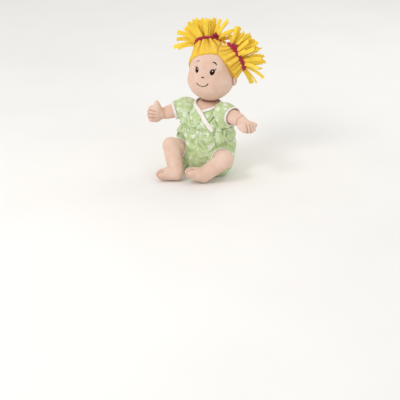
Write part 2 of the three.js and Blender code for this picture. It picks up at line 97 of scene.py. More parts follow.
# places of the sitting doll's joints and the ways its hands and toes point
POSE = {
    "left": {"wrist": (90, -12, 123), "hand": (106, -18, 115), "across": (-0.2, 1, 0.2),
             "knee": (70, -40, 48), "ankle": (34, -62, 16), "toes": (15, -82, 24)},
    "right": {"wrist": (-84, -15, 112), "hand": (-95, -28, 115.5), "across": (-0.25, -0.2, 1),
              "knee": (-46, -50, 60), "ankle": (-19, -76, 16), "toes": (-43, -94, 14)},
}
SEED = {"cap": {"left": 11, "right": 23}, "pigtail": {"left": 5, "right": 9}, "sleeve": {"left": 3, "right": 4},
        "shorts": {"left": 7, "right": 8}}
CAMERA = {"at": (1.0124, -1.8408, 0.7832), "pitch": 68, "turn": 29, "lens": 99}  # metres, degrees and millimetres
ROOM = {"hip": (-30, -10, 12), "raise": (-16, 40), "swing": (-22, 22)}  # degrees that the openings allow for

# ---- vectors and noise --------------------------------------------------------------------


def vec(a):
    return np.array(a, float)


def unit(a):
    a = vec(a)
    return a / np.linalg.norm(a, axis=-1, keepdims=True)


def along(a, b, distance):
    return vec(a) + unit(vec(b) - vec(a)) * distance


def smoothstep(t):
    t = np.clip(t, 0, 1)
    return t * t * (3 - 2 * t)


def smooth_max(a, b, soft):
    return np.logaddexp(a / soft, b / soft) * soft


def turns(count):
    """Even angles all the way round."""
    return np.linspace(0, 2 * math.pi, count, endpoint=False)


def wrapped(angle):
    return (angle + math.pi) % (2 * math.pi) - math.pi


def flattened(x, power):
    """A sine or cosine drawn out towards its ends, which makes a round section flatter."""
    return math.copysign(abs(x) ** power, x)


def spoke(axes, turn):
    """The way out from the y of some axes, at one turn about it or at each of several."""
    return np.multiply.outer(np.cos(turn), axes[:, 0]) + np.multiply.outer(np.sin(turn), axes[:, 2])


def rotation(axis, angle):
    x, y, z = unit(axis)
    c, s = math.cos(angle), math.sin(angle)
    k = np.array([[0, -z, y], [z, 0, -x], [-y, x, 0]])
    return np.eye(3) * c + s * k + (1 - c) * np.outer([x, y, z], [x, y, z])


def noise(points, size, seed=0):
    """Smooth noise from -1 to 1 whose cells are size across."""
    p = np.atleast_2d(points) / size + seed * 7.31
    cell = np.floor(p).astype(np.int64)
    t = p - cell
    t = t * t * (3 - 2 * t)
    total = 0
    for corner in range(8):
        d = np.array([corner & 1, corner >> 1 & 1, corner >> 2 & 1])
        c = cell + d
        h = (c[:, 0] * 73856093) ^ (c[:, 1] * 19349663) ^ (c[:, 2] * 83492791) ^ (seed * 9176)
        h = ((h ^ (h >> 13)) * 1274126177) & 0x7FFFFFFF
        h = ((h ^ (h >> 15)) * 1103515245) & 0x7FFFFFFF
        weight = np.prod(np.where(d, t, 1 - t), axis=1)
        total = total + weight * ((h >> 7) % 4096 / 2048 - 1)
    return total


def frame_of(direction, towards):
    """Columns x, y, z: y along the direction, z turned towards the other."""
    y = unit(direction)
    x = unit(np.cross(y, towards))
    return np.stack([x, y, np.cross(x, y)], axis=1)


IN_HEAD = rotation((0, 0, 1), HEAD_TURN)


def in_head(points):
    """Points of the head's own frame, in the part's."""
    return vec(points) @ IN_HEAD.T + HEAD_AT


# ---- meshes -------------------------------------------------------------------------------


def new_object(name, points, faces, material):
    mesh = bpy.data.meshes.new(name)
    mesh.from_pydata([tuple(p) for p in np.asarray(points) * MM], [], [tuple(f) for f in faces])
    mesh.materials.append(material)
    obj = bpy.data.objects.new(name, mesh)
    scene.collection.objects.link(obj)
    shade(obj)
    return obj


def relaxed(line, rounds):
    """A line of points evened out, with its ends where they were."""
    for _ in range(rounds):
        line[1:-1] = (line[:-2] + 2 * line[1:-1] + line[2:]) / 4
    return line


def evened(line, count, scale=(1, 1)):
    """Points at even distances along a line through the given ones."""
    line = vec(line)
    t = np.concatenate([[0], np.cumsum(np.linalg.norm(np.diff(line * scale, axis=0), axis=1))])
    fine = np.linspace(0, t[-1], count)
    return np.stack([np.interp(fine, t, line[:, k]) for k in range(2)], axis=1)


def shade(obj):
    obj.data.polygons.foreach_set("use_smooth", [True] * len(obj.data.polygons))


def rows_of(items, name):
    values = np.empty(len(items) * 3)
    items.foreach_get(name, values)
    return values.reshape(-1, 3)


def points_of(obj):
    return rows_of(obj.data.vertices, "co") / MM


def normals_of(obj):
    return rows_of(obj.data.vertex_normals, "vector")


def set_points(obj, points):
    obj.data.vertices.foreach_set("co", (points * MM).ravel())
    obj.data.update()


def push(obj, amount):
    """Moves every point along its normal, by a number or an array of them, in millimetres."""
    set_points(obj, points_of(obj) + normals_of(obj) * np.asarray(amount).reshape(-1, 1))


def tint(obj, values, name="crease_and_painted_shade"):
    """Stores a value for each point that the material mixes a darker colour by; under the default name this is
    painted shade.
    """
    attribute = obj.data.attributes.get(name) or obj.data.attributes.new(name, "FLOAT", "POINT")
    attribute.data.foreach_set("value", np.clip(values, 0, 1).astype(np.float32))


def applied(obj, kind, **settings):
    """Adds a modifier and applies it."""
    modifier = obj.modifiers.new(kind.lower(), kind)
    for key, value in settings.items():
        setattr(modifier, key, value)
    bpy.context.view_layer.update()
    graph = bpy.context.evaluated_depsgraph_get()
    mesh = bpy.data.meshes.new_from_object(obj.evaluated_get(graph))
    obj.modifiers.clear()
    old, obj.data = obj.data, mesh
    bpy.data.meshes.remove(old)
    shade(obj)
    return obj


def outwards(obj):
    """Turns the faces of a closed piece out."""
    bm = bmesh.new()
    bm.from_mesh(obj.data)
    bmesh.ops.recalc_face_normals(bm, faces=bm.faces)
    bm.to_mesh(obj.data)
    bm.free()
    return obj


def away_from(middle, obj):
    """Turns the faces of an open sheet away from a point, or from one point for each of its own."""
    outwards(obj)
    if np.mean(np.einsum("ij,ij->i", points_of(obj) - middle, normals_of(obj))) < 0:
        obj.data.flip_normals()
    return obj


def kept_above(obj, floor):
    """Keeps every point at least this high."""
    p = points_of(obj)
    p[:, 2] = np.maximum(p[:, 2], floor)
    set_points(obj, p)


def fitted(obj, body, replaced):
    """Says which body a piece rides on unless it is blended, and which nodes it stands for."""
    if body:
        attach(obj, body)
    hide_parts(*replaced)


def blended(obj):
    """Bakes the piece's placement into its points."""
    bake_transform(obj)


def grid(rows, closed=True, caps=False):
    """Points and faces of a surface through rows of points; closed rows join end to end."""
    rows = np.asarray(rows)
    n, k = rows.shape[:2]
    across = k if closed else k - 1
    faces = [(i * k + j, i * k + (j + 1) % k, (i + 1) * k + (j + 1) % k, (i + 1) * k + j)
             for i in range(n - 1) for j in range(across)]
    points = rows.reshape(-1, 3)
    if caps:
        for row, order in ((0, 1), (n - 1, -1)):
            middle = len(points)
            points = np.vstack([points, rows[row].mean(axis=0)])
            for j in range(k):
                corners = [row * k + j, middle, row * k + (j + 1) % k]
                faces.append(corners[::order])
    return points, faces


def torus(rows):
    """Points and faces of closed rows that follow each other round a ring."""
    rows = np.asarray(rows)
    n, k = rows.shape[:2]
    faces = [(i * k + j, i * k + (j + 1) % k, ((i + 1) % n) * k + (j + 1) % k, ((i + 1) % n) * k + j)
             for i in range(n) for j in range(k)]
    return rows.reshape(-1, 3), faces


def merged(shapes):
    points, faces = [], []
    for p, f in shapes:
        start = sum(len(q) for q in points)
        points.append(p)
        faces += [tuple(i + start for i in face) for face in f]
    return np.vstack(points), faces


def round_cube(cuts):
    """A unit ball of even quads."""
    bm = bmesh.new()
    bmesh.ops.create_cube(bm, size=2)
    bmesh.ops.subdivide_edges(bm, edges=bm.edges[:], cuts=cuts, use_grid_fill=True)
    points = unit(np.tan(np.array([v.co[:] for v in bm.verts]) * math.pi / 4))
    faces = [tuple(v.index for v in f.verts) for f in bm.faces]
    bm.free()
    return points, faces


def ellipsoid(at, half, axes):
    points, faces = round_cube(7)
    return (points * vec(half)) @ axes.T + vec(at), faces


def limb(a, b, radius_a, radius_b):
    """A tapered limb with round ends."""
    axes = frame_of(vec(b) - vec(a), (0.3, 0.2, 1) if abs(unit(vec(b) - vec(a))[2]) < 0.9 else (1, 0, 0))
    length = np.linalg.norm(vec(b) - vec(a))
    lean = math.asin((radius_a - radius_b) / length)
    profile = [(radius_a * math.cos(t), radius_a * math.sin(t))
               for t in np.linspace(-math.pi / 2 + 0.08, lean, 9)]
    profile += [(radius_b * math.cos(t), length + radius_b * math.sin(t))
                for t in np.linspace(lean, math.pi / 2 - 0.08, 9)]
    rows = [[(r * math.cos(t), h, r * math.sin(t)) for t in turns(28)] for r, h in profile]
    points, faces = grid(rows, caps=True)
    return points @ axes.T + vec(a), faces


def stuffed(name, shapes, voxel, rounds):
    """A stuffed piece: the shapes grown together into one skin and softened where they meet."""
    obj = new_object(name, *merged(shapes), SKIN)
    applied(obj, "REMESH", mode="VOXEL", voxel_size=voxel * MM)
    applied(obj, "SMOOTH", factor=0.6, iterations=rounds)
    p = points_of(obj)
    push(obj, 0.35 + 0.28 * noise(p, 15, 3) + 0.1 * noise(p, 5, 4))
    return obj


def groove(obj, a, b, through, width, depth):
    """Presses a stitched line into both faces of a piece, and returns how near each point is to it."""
    p, n = points_of(obj), unit(through)
    flat = lambda q: q - np.outer(np.atleast_2d(q) @ n, n)
    s, e, q = flat(vec(a))[0], flat(vec(b))[0], flat(p)
    d = e - s
    t = np.clip((q - s) @ d / (d @ d), 0, 1)
    gap = np.linalg.norm(q - s - t[:, None] * d, axis=1)
    near = np.linalg.norm(p - (vec(a) + vec(b)) / 2, axis=1) < 26
    amount = np.exp(-((gap / width) ** 2)) * near
    push(obj, -depth * amount)
    return amount


def clip(points, faces, value):
    """The part of a mesh where value is positive, cut cleanly where it crosses zero, and the points on the cut."""
    points, cut, kept = list(points), {}, []

    def crossing(i, j):
        key = (min(i, j), max(i, j))
        if key not in cut:
            a, b = key
            t = value[a] / (value[a] - value[b])
            cut[key] = len(points)
            points.append(points[a] * (1 - t) + points[b] * t)
        return cut[key]

    for face in faces:
        out = []
        for i, j in zip(face, face[1:] + face[:1]):
            if value[i] > 0:
                out.append(i)
            if (value[i] > 0) != (value[j] > 0):
                out.append(crossing(i, j))
        if len(out) >= 3:
            kept.append(out)
    used = sorted({i for f in kept for i in f})
    number = {old: new for new, old in enumerate(used)}
    points = np.array(points)
    edge = points[[i for i in cut.values() if i in number]]
    return points[used], [tuple(number[i] for i in f) for f in kept], edge


# ---- materials ----------------------------------------------------------------------------


def srgb(r, g, b):
    return tuple(((c / 255 + 0.055) / 1.055) ** 2.4 if c > 10 else c / 255 / 12.92 for c in (r, g, b)) + (1,)


class Shader:
    """A node material built by calls, where a socket's value may be another node's output."""

    def __init__(self, name):
        self.material = bpy.data.materials.new(name)
        self.material.use_nodes = True
        self.tree = self.material.node_tree
        self.tree.nodes.clear()
        out = self.tree.nodes.new("ShaderNodeOutputMaterial")
        self.surface = self.tree.nodes.new("ShaderNodeBsdfPrincipled")
        self.tree.links.new(self.surface.outputs[0], out.inputs[0])
        self.place = self.tree.nodes.new("ShaderNodeTexCoord").outputs["Object"]

    def node(self, kind, sockets=(), output=0, **settings):
        made = self.tree.nodes.new("ShaderNode" + kind)
        for key, value in settings.items():
            setattr(made, key, value)
        for key, value in dict(sockets).items():
            self.put(made.inputs[key], value)
        return made.outputs[output]

    def put(self, socket, value):
        if isinstance(value, bpy.types.NodeSocket):
            self.tree.links.new(value, socket)
        else:
            socket.default_value = value

    def noise(self, scale, detail=3, rough=0.55):
        return self.node("TexNoise", {"Vector": self.place, "Scale": scale, "Detail": detail, "Roughness": rough})

    def ramp(self, value, stops):
        made = self.tree.nodes.new("ShaderNodeValToRGB")
        while len(made.color_ramp.elements) < len(stops):
            made.color_ramp.elements.new(0.5)
        for element, (at, colour) in zip(made.color_ramp.elements, stops):
            element.position = at
            element.color = colour if hasattr(colour, "__len__") else (colour, colour, colour, 1)
        self.put(made.inputs[0], value)
        return made.outputs[0]

    def mix(self, share, a, b):
        made = self.tree.nodes.new("ShaderNodeMix")
        made.data_type = "RGBA"
        for socket, value in zip((made.inputs[0], made.inputs[6], made.inputs[7]), (share, a, b)):
            self.put(socket, value)
        return made.outputs[2]

    def math(self, operation, a, b):
        return self.node("Math", {0: a, 1: b}, operation=operation)

    def attribute(self, name):
        return self.node("Attribute", output=2, attribute_name=name)

    def finish(self, colour, roughness, bumps, sheen=0.0, sheen_tint=(1, 1, 1, 1), metallic=0.0):
        """Fills in the surface. Each bump is a height's output and its depth in millimetres."""
        values = {"Base Color": colour, "Roughness": roughness, "Metallic": metallic}
        if sheen:
            values.update({"Sheen Weight": sheen, "Sheen Roughness": 0.45, "Sheen Tint": sheen_tint})
        for height, depth in bumps:
            below = {"Normal": values["Normal"]} if "Normal" in values else {}
            values["Normal"] = self.node("Bump", {"Height": height, "Distance": depth * MM, "Strength": 1.0, **below})
        for key, value in values.items():
            self.put(self.surface.inputs[key], value)
        return self.material


def knit(s, pitch):
    """Fine loops of a knitted cloth, in every direction of the surface."""
    total = None
    for axis in ("X", "Y", "Z"):
        wave = s.node("TexWave", {"Vector": s.place, "Scale": 1 / (pitch * MM) / 6.28, "Distortion": 0.6,
                                  "Detail": 1.0}, bands_direction=axis, output=1)
        total = wave if total is None else s.math("ADD", total, wave)
    return total


def velour(name, colour, deep, light):
    s = Shader(name)
    blotch = s.ramp(s.noise(45, 3), [(0.35, 0.0), (0.68, 1.0)])
    pile = s.noise(1500, 4, 0.65)
    base = s.mix(blotch, colour, light)
    base = s.mix(s.ramp(pile, [(0.38, 0.28), (0.62, 0.0)]), base, deep)
    # painted shade: the attribute mixes in the darker colour in creases, hollows and under parts
    base = s.mix(s.attribute("crease_and_painted_shade"), base, deep)
    return s.finish(base, s.ramp(pile, [(0.3, 0.95), (0.7, 0.8)]),
                    [(pile, 0.35), (s.noise(420, 3), 0.25)], sheen=0.35, sheen_tint=light)


def felt(name, colour, deep, light):
    s = Shader(name)
    blotch = s.ramp(s.noise(120, 4), [(0.32, 0.0), (0.7, 1.0)])
    fibre = s.node("TexNoise", {"Vector": s.place, "Scale": 1100, "Detail": 5, "Roughness": 0.7,
                                "Distortion": 1.5})
    base = s.mix(blotch, colour, light)
    base = s.mix(s.ramp(fibre, [(0.36, 0.3), (0.58, 0.0)]), base, deep)
    base = s.mix(s.attribute("shade"), base, tuple(0.6 * a + 0.4 * b for a, b in zip(colour, deep)))
    # painted shade: the attribute mixes in the darker colour in pleats, hollows and under the edges
    base = s.mix(s.attribute("crease_and_painted_shade"), base, deep)
    return s.finish(base, s.ramp(fibre, [(0.3, 0.95), (0.7, 0.75)]),
                    [(fibre, 0.4), (s.noise(500, 3), 0.3)], sheen=0.3, sheen_tint=light)


def print_cloth(name):
    """Pale green jersey with a generic scatter of soft white blossoms and darker sprigs."""
    s = Shader(name)
    drift = s.node("TexNoise", {"Vector": s.place, "Scale": 200, "Detail": 3}, output=1)
    warped = s.node("VectorMath", {0: s.place, 1: s.node("VectorMath", {0: drift, 3: 0.008}, operation="SCALE")},
                    operation="ADD")
    blossom = s.node("TexVoronoi", {"Vector": warped, "Scale": 78, "Randomness": 0.9}, feature="F1")
    small = s.node("TexVoronoi", {"Vector": warped, "Scale": 165, "Randomness": 1.0}, feature="F1")
    sprig = s.node("TexVoronoi", {"Vector": warped, "Scale": 120, "Randomness": 1.0}, feature="DISTANCE_TO_EDGE")
    base = s.mix(s.ramp(s.noise(110, 3), [(0.35, 0.0), (0.7, 1.0)]), srgb(184, 206, 146), srgb(204, 218, 176))
    base = s.mix(s.math("MULTIPLY", s.ramp(sprig, [(0.01, 1.0), (0.09, 0.0)]), 0.45), base, srgb(152, 186, 112))
    base = s.mix(s.math("MULTIPLY", s.ramp(blossom, [(0.22, 1.0), (0.52, 0.0)]), 0.75), base, srgb(238, 242, 230))
    base = s.mix(s.math("MULTIPLY", s.ramp(small, [(0.16, 1.0), (0.34, 0.0)]), 0.5), base, srgb(236, 241, 226))
    # painted shade: the attribute mixes in a darker green in the fold valleys and at the sleeve and leg ends
    base = s.mix(s.attribute("crease_and_painted_shade"), base, srgb(122, 152, 84))
    loops = knit(s, 0.7)
    return s.finish(base, s.ramp(s.noise(900), [(0.3, 0.92), (0.7, 0.8)]),
                    [(loops, 0.06), (s.noise(1400, 3), 0.12)], sheen=0.15, sheen_tint=srgb(235, 240, 225))


def plain_cloth(name, colour, deep):
    s = Shader(name)
    base = s.mix(s.ramp(s.noise(220, 3), [(0.35, 0.0), (0.7, 0.6)]), colour, deep)
    # painted shade: the attribute mixes in the darker colour in ripples and along folded edges
    base = s.mix(s.attribute("crease_and_painted_shade"), base, deep)
    loops = knit(s, 0.8)
    base = s.mix(s.math("MULTIPLY", s.ramp(loops, [(0.3, 1.0), (0.55, 0.0)]), 0.25), base, deep)
    return s.finish(base, s.ramp(s.noise(900), [(0.3, 0.9), (0.7, 0.78)]),
                    [(loops, 0.1), (s.noise(1300, 3), 0.12)], sheen=0.2, sheen_tint=colour)


def velvet(name, colour, deep):
    s = Shader(name)
    nap = s.noise(900, 4, 0.7)
    base = s.mix(s.ramp(s.noise(180, 3), [(0.3, 0.0), (0.7, 1.0)]), colour, deep)
    # painted shade: the attribute mixes in the darker colour in the puckers' valleys and between the knot's lumps
    base = s.mix(s.attribute("crease_and_painted_shade"), base, deep)
    base = s.mix(s.ramp(nap, [(0.4, 0.4), (0.62, 0.0)]), base, deep)
    return s.finish(base, s.ramp(nap, [(0.3, 0.85), (0.7, 0.6)]), [(nap, 0.3)], sheen=0.5,
                    sheen_tint=srgb(240, 120, 160))


def thread(name, colour, light):
    """Satin stitch: close parallel threads with a soft shine, partly from the roughness and partly a painted
    highlight along each row of thread.
    """
    s = Shader(name)
    rows = s.node("TexWave", {"Vector": s.place, "Scale": 1 / (0.45 * MM) / 6.28, "Distortion": 1.2,
                              "Detail": 1.0}, bands_direction="Z", output=1)
    # painted highlight: each row of thread is mixed towards the lighter colour
    base = s.mix(s.ramp(rows, [(0.3, 0.0), (0.8, 1.0)]), colour, light)
    base = s.mix(s.ramp(s.noise(900), [(0.4, 0.0), (0.7, 0.5)]), base, colour)
    s.surface.inputs["Specular IOR Level"].default_value = 0.12
    return s.finish(base, s.ramp(rows, [(0.2, 0.7), (0.8, 0.5)]), [(rows, 0.12)])


def moulded(name, colour, roughness, grain=0.05):
    s = Shader(name)
    fine = s.noise(2500, 2)
    broad = s.noise(150, 3)
    base = s.mix(s.ramp(broad, [(0.3, 0.0), (0.8, 0.35)]), colour, tuple(c * 0.82 for c in colour[:3]) + (1,))
    return s.finish(base, s.ramp(broad, [(0.3, roughness), (0.7, roughness + 0.12)]), [(fine, grain)])


def plated(name):
    s = Shader(name)
    brushed = s.node("TexNoise", {"Vector": s.node("Mapping", {"Vector": s.place, "Scale": (1, 30, 30)}),
                                  "Scale": 300, "Detail": 4})
    return s.finish(s.mix(brushed, srgb(150, 152, 155), srgb(205, 207, 210)),
                    s.ramp(brushed, [(0.3, 0.25), (0.7, 0.42)]), [(brushed, 0.04)], metallic=1.0)


def circuit(name):
    s = Shader(name)
    tracks = s.node("TexBrick", {"Vector": s.place, "Scale": 220.0, "Mortar Size": 0.06,
                                 "Color1": srgb(38, 104, 60), "Color2": srgb(30, 88, 50),
                                 "Mortar": srgb(96, 150, 92)})
    return s.finish(tracks, s.ramp(s.noise(400), [(0.3, 0.35), (0.7, 0.5)]), [(s.noise(600), 0.05)])


def hooks(name):
    s = Shader(name)
    loops = s.node("TexVoronoi", {"Vector": s.place, "Scale": 900}, feature="F1")
    base = s.mix(loops, srgb(238, 236, 230), srgb(196, 194, 186))
    return s.finish(base, s.ramp(loops, [(0.2, 0.75), (0.8, 0.95)]), [(loops, 0.4)], sheen=0.2)


SKIN = velour("skin_velour", srgb(230, 196, 176), srgb(176, 122, 98), srgb(240, 214, 198))
HAIR = felt("hair_felt", srgb(252, 207, 52), srgb(184, 124, 26), srgb(254, 222, 96))
STRIP = felt("strip_felt", srgb(255, 224, 62), srgb(226, 156, 26), srgb(255, 234, 100))
PRINT = print_cloth("green_print")
TRIM = plain_cloth("white_trim", srgb(250, 246, 243), srgb(206, 198, 190))
BAND = {"left": velvet("band_magenta", srgb(206, 24, 84), srgb(140, 10, 52)),
        "right": velvet("band_crimson", srgb(200, 30, 78), srgb(130, 12, 42))}
BROWN = thread("thread_brown", srgb(24, 12, 10), srgb(48, 28, 22))
WHITE = thread("thread_white", srgb(246, 244, 240), srgb(255, 255, 252))
MAUVE = thread("thread_mauve", srgb(120, 84, 82), srgb(150, 110, 106))
PLASTIC = moulded("case_plastic", srgb(230, 230, 226), 0.4)
RED = moulded("button_plastic", srgb(200, 48, 44), 0.3, 0.02)
DARK = moulded("dark_plastic", srgb(44, 44, 46), 0.6)
STEEL = plated("steel")
BOARD = circuit("board")
HOOKS = hooks("hook_and_loop")

# ---- head, face and ears ------------------------------------------------------------------


def skull_radius(direction, margin=0.0):
    """How far the head's surface lies from its centre along unit directions in its own frame: an egg and, within
    it, a wider and lower ball for the cheeks."""
    a, b, c = (h + margin for h in HEAD_HALF)
    egg = 1 / np.sqrt((direction ** 2 / vec((a * 0.975, b, c)) ** 2).sum(axis=-1))
    at, half = vec((-0.5, -2.5, -15)), vec((a + 1.2, b * 0.97, c * 0.7))  # the cheeks' ball
    d, o = direction / half, -at / half
    dd, do, oo = (d * d).sum(axis=-1), (d * o).sum(axis=-1), o @ o
    cheeks = (-do + np.sqrt(np.maximum(do * do - dd * (oo - 1), 0))) / dd
    return smooth_max(egg, cheeks, 1.2) - 0.6


# soft swells of the stuffing in the head's own x, z: where, how high and how wide
SWELLS = [((-15, 12), -0.9, 9), ((17, 11), -0.9, 9), ((0, -1), 0.9, 6), ((-22, -14), 1.2, 11), ((24, -13), 1.2, 11),
          ((0, -33), 0.9, 11), ((0, -24), -0.6, 6)]


def skin_radius(direction):
    """The surface of the head's skin: the skull with its swells."""
    radius = skull_radius(direction)
    local = direction * radius[..., None]
    front = smoothstep(-local[..., 1] / 12)
    for (x, z), height, width in SWELLS:
        away = np.hypot(local[..., 0] - x, local[..., 2] - z)
        radius = radius + height * np.exp(-(away / width) ** 2) * front
    return radius


def face_points(x, z, lift):
    """Points of the face straight in front of x, z in the head's own frame, lifted off the skin."""
    x, z, lift = np.broadcast_arrays(vec(x), vec(z), vec(lift))
    y = np.full(x.shape, -40.0)
    for _ in range(12):
        d = unit(np.stack([x, y, z], axis=-1))
        r = skin_radius(d) + lift
        y = -np.sqrt(np.maximum(r * r - x * x - z * z, 1.0))
    return in_head(np.stack([x, y, z], axis=-1))


def make_head():
    points, faces = round_cube(44)
    local = points * skin_radius(points)[:, None]
    local += points * (0.25 * noise(local, 18, 5) * smoothstep((local[:, 1] + 30) / 20))[:, None]
    obj = outwards(new_object("head_skin", in_head(local), faces, SKIN))
    # painted shade under the chin and where the ears meet the head
    shade_under_chin = 0.3 * smoothstep((-local[:, 2] - 42) / 14)
    shade_by_ears = sum(np.exp(-(np.linalg.norm((local - vec((x, -4, -13))) / (4, 3, 10), axis=1)) ** 2)
                  for x in (46, -46))
    tint(obj, shade_under_chin + 0.7 * shade_by_ears)
    fitted(obj, "head", ["head"])


def patch(name, outline, dome, material, lift=0.15):
    """A raised patch of satin stitch inside an outline of x, z points on the face."""
    outline = vec(outline)
    middle = outline.mean(axis=0)
    rows = [face_points(outline[:, 0], outline[:, 1], -0.4)]
    for share, height in ((1.0, 0.0), (0.97, 0.35), (0.85, 0.7), (0.6, 0.92), (0.3, 1.0), (0.02, 1.0)):
        ring = middle + (outline - middle) * share
        rows.append(face_points(ring[:, 0], ring[:, 1], lift + dome * height))
    points, faces = grid(rows)
    k = len(outline)
    faces += [tuple(range(k)), tuple(range(len(points) - k, len(points)))]
    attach(outwards(new_object(name, points, faces, material)), "head")


def oval(x, z, half_x, half_z, tilt=0.0):
    turn = turns(32)
    u, v = half_x * np.cos(turn), half_z * np.sin(turn)
    c, s = math.cos(tilt), math.sin(tilt)
    return np.stack([x + u * c - v * s, z + u * s + v * c], axis=1)


def stroke(name, line, widths, material, height=0.5):
    """A raised line of stitches through x, z points of the face, with rounded ends. Its width runs through the
    given values."""
    steps = 40
    line = vec(line)
    degree = min(3, len(line) - 1)
    knots, fine = np.linspace(0, 1, len(line)), np.linspace(0, 1, steps)
    x, z = (np.polyval(np.polyfit(knots, line[:, k], degree), fine) for k in range(2))
    half = np.interp(fine, np.linspace(0, 1, len(widths)), widths) / 2
    dx, dz = np.gradient(x), np.gradient(z)
    size = np.hypot(dx, dz)
    turn = turns(12)
    rows = []
    for i in range(steps):
        end = math.sqrt(max(1 - (2 * i / (steps - 1) - 1) ** 16, 0.02))
        u, v = np.cos(turn) * half[i] * end, np.sin(turn) * height * end
        rows.append(face_points(x[i] - dz[i] / size[i] * u, z[i] + dx[i] / size[i] * u, v + 0.1))
    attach(outwards(new_object(name, *grid(rows, caps=True), material)), "head")


def make_face():
    patch("eye_right", oval(-14.6, 13.0, 3.8, 5.7, -0.12), 0.9, BROWN)
    patch("eye_left", oval(17.0, 11.2, 4.4, 5.8, -0.18), 0.9, BROWN)
    patch("eye_glint_right", oval(-13.6, 15.2, 0.8, 1.0), 0.3, WHITE, lift=0.9)
    patch("eye_glint_left", oval(17.6, 13.4, 0.9, 1.1), 0.3, WHITE, lift=0.9)
    stroke("lash_right_upper", [(-15.5, 18.2), (-17.6, 18.8), (-19.6, 18.4)], [1.5, 1.2, 0.6], BROWN)
    stroke("lash_right_lower", [(-17.6, 16.4), (-19.2, 16.2)], [1.1, 0.6], BROWN)
    stroke("lash_left_upper", [(19.6, 15.2), (21.6, 15.6), (23.6, 18.6)], [1.6, 1.5, 0.9], BROWN)
    stroke("lash_left_lower", [(20.6, 12.6), (22.4, 14.0)], [1.2, 0.7], BROWN)
    stroke("brow_right", [(-10.2, 30.2), (-13.6, 30.2), (-17.2, 27.6)], [0.9, 1.7, 0.8], MAUVE, 0.4)
    stroke("brow_left", [(15.2, 29.6), (20.0, 28.8), (23.8, 23.8)], [0.9, 2.1, 1.2], BROWN, 0.5)
    stroke("nose", [(-4.1, 1.4), (-1.0, 0.5), (2.4, 1.4)], [1.1, 2.5, 1.8], BROWN, 0.6)
    stroke("mouth", [(-12.8, -12.2), (-8.6, -15.6), (-1.4, -17.6), (5.6, -15.8), (9.8, -11.6)],
           [1.8, 1.25, 1.3, 1.6, 2.1], BROWN, 0.6)
    stroke("mouth_corner_right", [(-13.9, -11.7), (-11.5, -12.9)], [1.2, 1.2], BROWN, 0.45)
    stroke("mouth_corner_left", [(8.3, -12.9), (10.9, -10.7)], [1.4, 1.4], BROWN, 0.45)


def make_ear(side):
    points, faces = round_cube(12)
    x, y, z = vec(EAR["half"])
    local = points * (x, y, z)
    # the rim is full and the middle sinks towards the head
    rim = np.hypot(points[:, 1], points[:, 2])
    local[:, 0] -= 2.4 * np.exp(-(rim / 0.5) ** 2) * (points[:, 0] > 0)
    local[:, 0] *= SIDES[side]
    at = vec(EAR[side])
    obj = outwards(new_object(f"ear_{side}_skin", in_head(local + at), faces, SKIN))
    # painted shade in the ear's sunken middle and round its edge
    tint(obj, 0.8 * np.exp(-(rim / 0.45) ** 2) * (points[:, 0] > 0) + 0.6 * (np.abs(local[:, 0]) < 0.3 * x))
    fitted(obj, "head", [f"ear_{side}"])


# ---- hair ---------------------------------------------------------------------------------


def tie_axis(side):
    return unit(TAIL_AXES[side])


def bulged(points, side):
    """Head-frame points near a band, pushed out along the tail on the band's front."""
    towards, amount = BULGE[side]
    axis = tie_axis(side)
    height = points @ axis
    out = points - height[..., None] * axis
    towards = unit(vec(towards) - axis * (vec(towards) @ axis))
    share = np.clip(unit(out) @ towards, 0, 1) ** 2 * smoothstep((height - TIE["reach"][side] + 26) / 26)
    return points + axis * (amount * share)[..., None]


